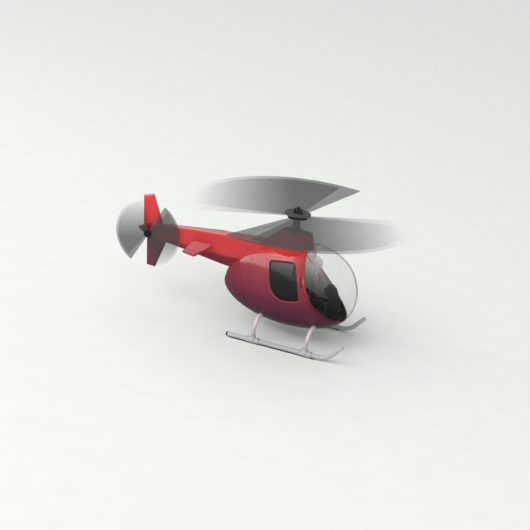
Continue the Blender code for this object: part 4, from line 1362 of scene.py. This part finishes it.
def blade_shape(radii, chords, height, base, thickness):
    """Lens-section blade along +X."""
    rings = []
    for radius in radii:
        middle_z = base + height(radius) + thickness / 2
        chord = half_chord(radius, chords, (radii[0], radii[-1]))
        ring = []
        for turn in np.arange(24) * math.tau / 24:
            lift = thickness / 2 * math.copysign(abs(math.sin(turn)) ** 0.7, math.sin(turn))
            ring.append((radius, chord * math.cos(turn), middle_z + lift))
        rings.append(ring)
    return loft(rings)


def fan_shape(ends, chords, height, base, thickness, swept):
    """Coned sector that starts behind a blade along +X and turns to +Y."""
    radii = np.concatenate([np.linspace(ends[0], CONE_START, 4, endpoint=False),
                            np.linspace(CONE_START, ends[1], 18)])
    columns = 72
    rings = []
    for column in range(columns + 1):
        half_thick = thickness / 2 * (0.35 if column in (0, columns) else 1.0)
        upper = []
        lower = []
        for radius in radii:
            start = math.asin(min(0.9, (half_chord(radius, chords, ends) - OVERLAP) / radius))
            turn = start + (math.radians(swept) - start) * column / columns
            level = base + thickness / 2 + height(radius, turn)
            x, y = radius * math.cos(turn), radius * math.sin(turn)
            upper.append((x, y, level + half_thick))
            lower.append((x, y, level - half_thick))
        rings.append(upper + lower[::-1])
    return loft(rings)


def make_blades(rotor, radii, chords, blade, fan, height, film, places):
    """Two blades, each with the fan plate behind it.

    blade holds its base and thickness, fan the same and its angle.
    """
    ends = (radii[0], radii[-1])
    for word, place in zip("ab", places):
        shape = moved(blade_shape(radii, chords, height, *blade), place)
        piece(f"{rotor}_blade_{word}", "moulded", shape, BLADE_FILM)
        shape = fan_shape(ends, chords, height, *fan)
        vane = piece(f"{rotor}_vane_{word}", "film", moved(shape, place), film,
                     sharp=40)
        vane.visible_shadow = False


def both_ways(lead):
    """Turns that set the two blades of a rotor opposite each other."""
    return [Matrix.Rotation(math.radians(lead + extra), 4, "Z") for extra in (0.0, 180.0)]


def make_main_rotor():
    base = box("hub_clamp_plate")[1].z + 0.35
    radii = np.concatenate([[7.5, 12, 18], np.linspace(22, ROTOR_RADIUS, 24)])
    make_blades("main", radii, (2.2, 7.2), (base, 1.2), (base + 0.2, 0.8, FAN_SWEEP), coned,
                MAIN_FILM, both_ways(BLADE_ANGLE))


def make_tail_rotor():
    along = Matrix.Translation(TAIL_HUB) @ Matrix.Rotation(math.radians(-90), 4, "X")
    low, high = (corner.y for corner in box("tail_rotor_shaft"))
    turned_piece("tail_rotor_shaft", washer(0, 1.5, low, high), closed=False, radius=0.5,
                 steps=40, place=along)
    for part in ("tail_hub_outer", "tail_hub_inner", "tail_shaft_clip"):
        low, high = (corner.y for corner in box(part))
        turned_piece(part, washer(1.55, half(part, X), low, high), radius=0.4, steps=48,
                     place=along)
    fan_y = (box("tail_hub_outer")[1].y + box("tail_hub_inner")[0].y) / 2
    upright = Matrix(((1, 0, 0, 0), (0, 0, 1, 0), (0, 1, 0, 0), (0, 0, 0, 1)))
    hub = Matrix.Translation((TAIL_HUB.x, fan_y, TAIL_HUB.z)) @ upright
    flip = Matrix.Scale(-1, 4, (0, 1, 0))
    make_blades("tail", np.linspace(2.6, TAIL_RADIUS, 18), (1.5, 3.4), (-0.5, 1.0),
                (-0.35, 0.7, TAIL_FAN_SWEEP), flat, TAIL_FILM,
                [hub @ turn @ flip for turn in both_ways(TAIL_BLADE_ANGLE)])


# ---------------------------------------------------------------- cabin


def cushion(width, length, height):
    """Padded block: crowned faces, sides pulled in between the corners, a piped edge."""
    rings = []
    for level, size in ((0.0, 0.90), (0.08, 0.97), (0.3, 1.0), (0.55, 1.0), (0.62, 1.03),
                        (0.68, 1.0), (0.85, 0.95), (1.0, 0.80)):
        ring = []
        for turn in np.arange(48) * math.tau / 48:
            cosine = math.copysign(abs(math.cos(turn)) ** 0.42, math.cos(turn))
            sine = math.copysign(abs(math.sin(turn)) ** 0.42, math.sin(turn))
            reach = size / 2 * (1 - 0.042 * (1 - abs(cosine * sine)))
            ring.append((width * cosine * reach, length * sine * reach, height * level))
        rings.append(ring)
    crown = height * 0.175
    foot, last = rings[0], rings[-1]
    for share in (0.66, 0.33):
        lift = crown * (1 - share * share)
        rings.append([(x * share, y * share, z + lift) for x, y, z in last])
    rings.append([(0, 0, height + crown)])
    return loft([[(0, 0, 0)], [(x * 0.5, y * 0.5, 0) for x, y, _ in foot], *rings])


def slab(outline, y, half_width, run, shrink):
    """Upright plate across the cabin whose edges slant in by a shrink over a run."""
    steps = ((-1, 0, -shrink), (-1, run, 0), (1, run, 0), (1, 0, -shrink))
    return loft([[(x, y + side * (half_width - inset), z) for x, z in offset(outline, grow)]
                 for side, inset, grow in steps])


def make_seats():
    """Bucket seats: moulded shell and pan, base and back cushions, headrest."""
    back = rounded([(23.4, 41), (30, 41), (33, 49), (29.6, 60), (31.4, 92), (34, 100), (33, 110),
                    (29, 113), (25.6, 109), (24.2, 96), (22.6, 60)], 2.0, 4)
    pan = rounded([(30, 40.4), (54, 40.4), (56, 44), (30, 44)], 1.0, 3)
    for seat in ("seat_right", "seat_left"):
        y = middle(seat, Y)
        width = 2 * half(seat, Y)
        shapes = [slab(back, y, width / 2, 0.9, 0.8),
                  loft([[(x, y + side * (width / 2 - 1), z) for x, z in pan]
                        for side in (-1, 1)])]
        for size, x, z, lean in (((26, width - 2.5, 8), 43, 42.5, 0),
                                 ((37, width - 3, 5), 29.8, 70, 86),
                                 ((11, width - 7, 5.4), 32.6, 105, 88)):
            tilt = Matrix.Rotation(math.radians(lean), 4, "Y")
            shapes.append(moved(cushion(*size), Matrix.Translation((x, y, z)) @ tilt))
        obj = piece(seat, "upholstered", joined(*shapes), SEAT_COVER, sharp=60)
        mod = obj.modifiers.new("Soften", "SUBSURF")
        mod.levels = 1
        mod.render_levels = 1


def make_console():
    """Pedestal with a hooded panel of round gauges."""
    foot = Vector((60.5, 0, 68.5))
    face = Vector((54, 0, 75.5)) - foot
    outline = [(62, 40), (72, 40), (75, 50), (69.5, 66), (65, 78), (59, 83), (52.5, 81.5),
               (54, 75.5), (60.5, 68.5), (62.5, 56)]
    shapes = [slab(rounded(outline, 1.4, 5), 0, half("instrument_console", Y), 1.0, 1.0)]
    out = Vector((-face.z, 0, face.x)).normalized()
    turn = Vector((0, 0, 1)).rotation_difference(out).to_matrix().to_4x4()
    rim = [(0, 0), (1.9, 0), (1.9, 0.9), (1.5, 0.9), (1.4, 0.55), (0, 0.55)]
    for row in (0.26, 0.74):
        for spot in (-4.4, 0.0, 4.4):
            centre = foot + face * row + Vector((0, spot, 0)) - out * 0.3
            shapes.append(moved(lathe(rim, 28), Matrix.Translation(centre) @ turn))
    piece("instrument_console", "moulded", joined(*shapes), PEDESTAL, 0.15)


def make_stick():
    """Control stick with a swelling grip, in a bellows boot."""
    y = middle("cyclic_stick", Y)
    path = smooth_curve([(61, y, 40), (62, y, 47), (59, y, 56), (57.5, y, 65)], 6)
    radii = [0.9 if share < 0.6 else 1.35 - 0.25 * math.cos((share - 0.6) * 15)
             for share in np.linspace(0, 1, len(path))]
    boot = lathe([(0, 0), (3.4, 0), (3.4, 0.5), (2.9, 0.9), (3.0, 1.4), (2.3, 1.9), (2.4, 2.4),
                  (1.6, 2.9), (1.0, 3.6), (0, 3.6)], 28)
    shape = joined(sweep(path, radii, (0, 1, 0), 20),
                   moved(boot, Matrix.Translation((61, y, 39.7))))
    piece("cyclic_stick", "moulded", shape, TRIM_BLACK, 0.1)


def paint_cad_nodes():
    """CAD pieces whose own shape is right keep it and get a finish."""
    # the rear bulkhead takes the lining, with its painted cabin shade and glow
    for part, finish in (("cabin_floor", TRIM_BLACK), ("rear_bulkhead", LINING)):
        mesh = frame["nodes"][part].data
        mesh.materials.clear()
        mesh.materials.append(finish)


# ---------------------------------------------------------------- stage, light, camera


def view_axes(azimuth, elevation):
    """Right, up and back directions of a level view."""
    turn = math.radians(azimuth)
    lift = math.radians(elevation)
    back = Vector((math.sin(turn) * math.cos(lift), -math.cos(turn) * math.cos(lift),
                   math.sin(lift)))
    right = Vector((math.cos(turn), math.sin(turn), 0))
    return right, back.cross(right), back


def make_camera():
    right, up, back = view_axes(CAMERA_AZIMUTH, CAMERA_ELEVATION)
    roll = math.radians(CAMERA_ROLL)
    right, up = (right * math.cos(roll) + up * math.sin(roll),
                 up * math.cos(roll) - right * math.sin(roll))
    camera = add_object("camera", bpy.data.cameras.new("camera"))
    turn = Matrix((right, up, back)).transposed().to_4x4()
    place = PLACE @ (Vector(CAMERA_AIM) + back * CAMERA_DISTANCE)
    camera.matrix_world = Matrix.Translation(place) @ turn
    camera.data.lens = CAMERA_LENS
    camera.data.sensor_width = 36.0
    camera.data.clip_start = 0.01
    camera.data.clip_end = 100.0
    bpy.context.scene.camera = camera


def make_floor():
    turns = np.arange(96) * math.tau / 96
    points, faces = loft([[(r * math.cos(a), r * math.sin(a), 0) for a in turns]
                          for r in (0.5, 2.0, 80.0)])
    mesh = bpy.data.meshes.new("floor")
    mesh.from_pydata(points, [], faces[:-1])
    mesh.materials.append(material("pale_floor", pale_floor))
    floor = add_object("floor", mesh)
    floor.visible_glossy = False


def aim_light(light, place, target):
    obj = add_object(light.name, light)
    obj.location = place
    obj.rotation_mode = "QUATERNION"
    obj.rotation_quaternion = (Vector(place) - Vector(target)).to_track_quat("Z", "Y")


def make_sky():
    """Pale surround: as bright as the floor to the eye, dimmer as light and in reflections."""
    world = bpy.data.worlds.new("studio")
    bpy.context.scene.world = world
    world.use_nodes = True
    tree = world.node_tree
    background = tree.nodes["Background"]
    background.inputs["Color"].default_value = linear(246, 248, 245)
    rays = node(tree, "ShaderNodeLightPath").outputs
    strength = SKY_LIGHT
    for ray, level in (("Is Camera Ray", SKY_SEEN), ("Is Glossy Ray", SKY_MIRRORED)):
        change = calc(tree, "MULTIPLY", rays[ray], level - SKY_LIGHT)
        strength = calc(tree, "ADD", strength, change)
    tree.links.new(strength, background.inputs["Strength"])


def make_light():
    """Soft sun and one long panel, whose mirror image is the highlight along the flank."""
    target = MAST_AXIS + Vector((0, 0, 0.1))
    sun = bpy.data.lights.new("sun", "SUN")
    sun.energy = 0.58
    sun.angle = math.radians(40)
    aim_light(sun, target + Vector((-0.9, -1.0, 1.9)), target)
    turn = math.radians(PANEL_AZIMUTH)
    ahead = Vector((math.sin(turn), -math.cos(turn), 0))
    right = Vector((math.cos(turn), math.sin(turn), 0))
    first, last, low, high = (PANEL_DISTANCE * math.tan(math.radians(angle))
                              for angle in (*PANEL_ENDS, *PANEL_LEVELS))
    panel = bpy.data.lights.new("panel", "AREA")
    panel.shape = "RECTANGLE"
    panel.size = first - last
    panel.size_y = high - low
    panel.energy = PANEL_POWER
    centre = target + ahead * PANEL_DISTANCE + right * (first + last) / 2
    centre.z += (low + high) / 2
    aim_light(panel, centre, centre - ahead)


for make in (make_sides, make_ends, make_fairing, make_tail, make_gear, make_mast, make_hub,
             make_main_rotor, make_tail_rotor, make_seats, make_console, make_stick,
             paint_cad_nodes, make_floor, make_sky, make_light, make_camera):
    make()
bpy.context.scene.view_settings.view_transform = "Standard"
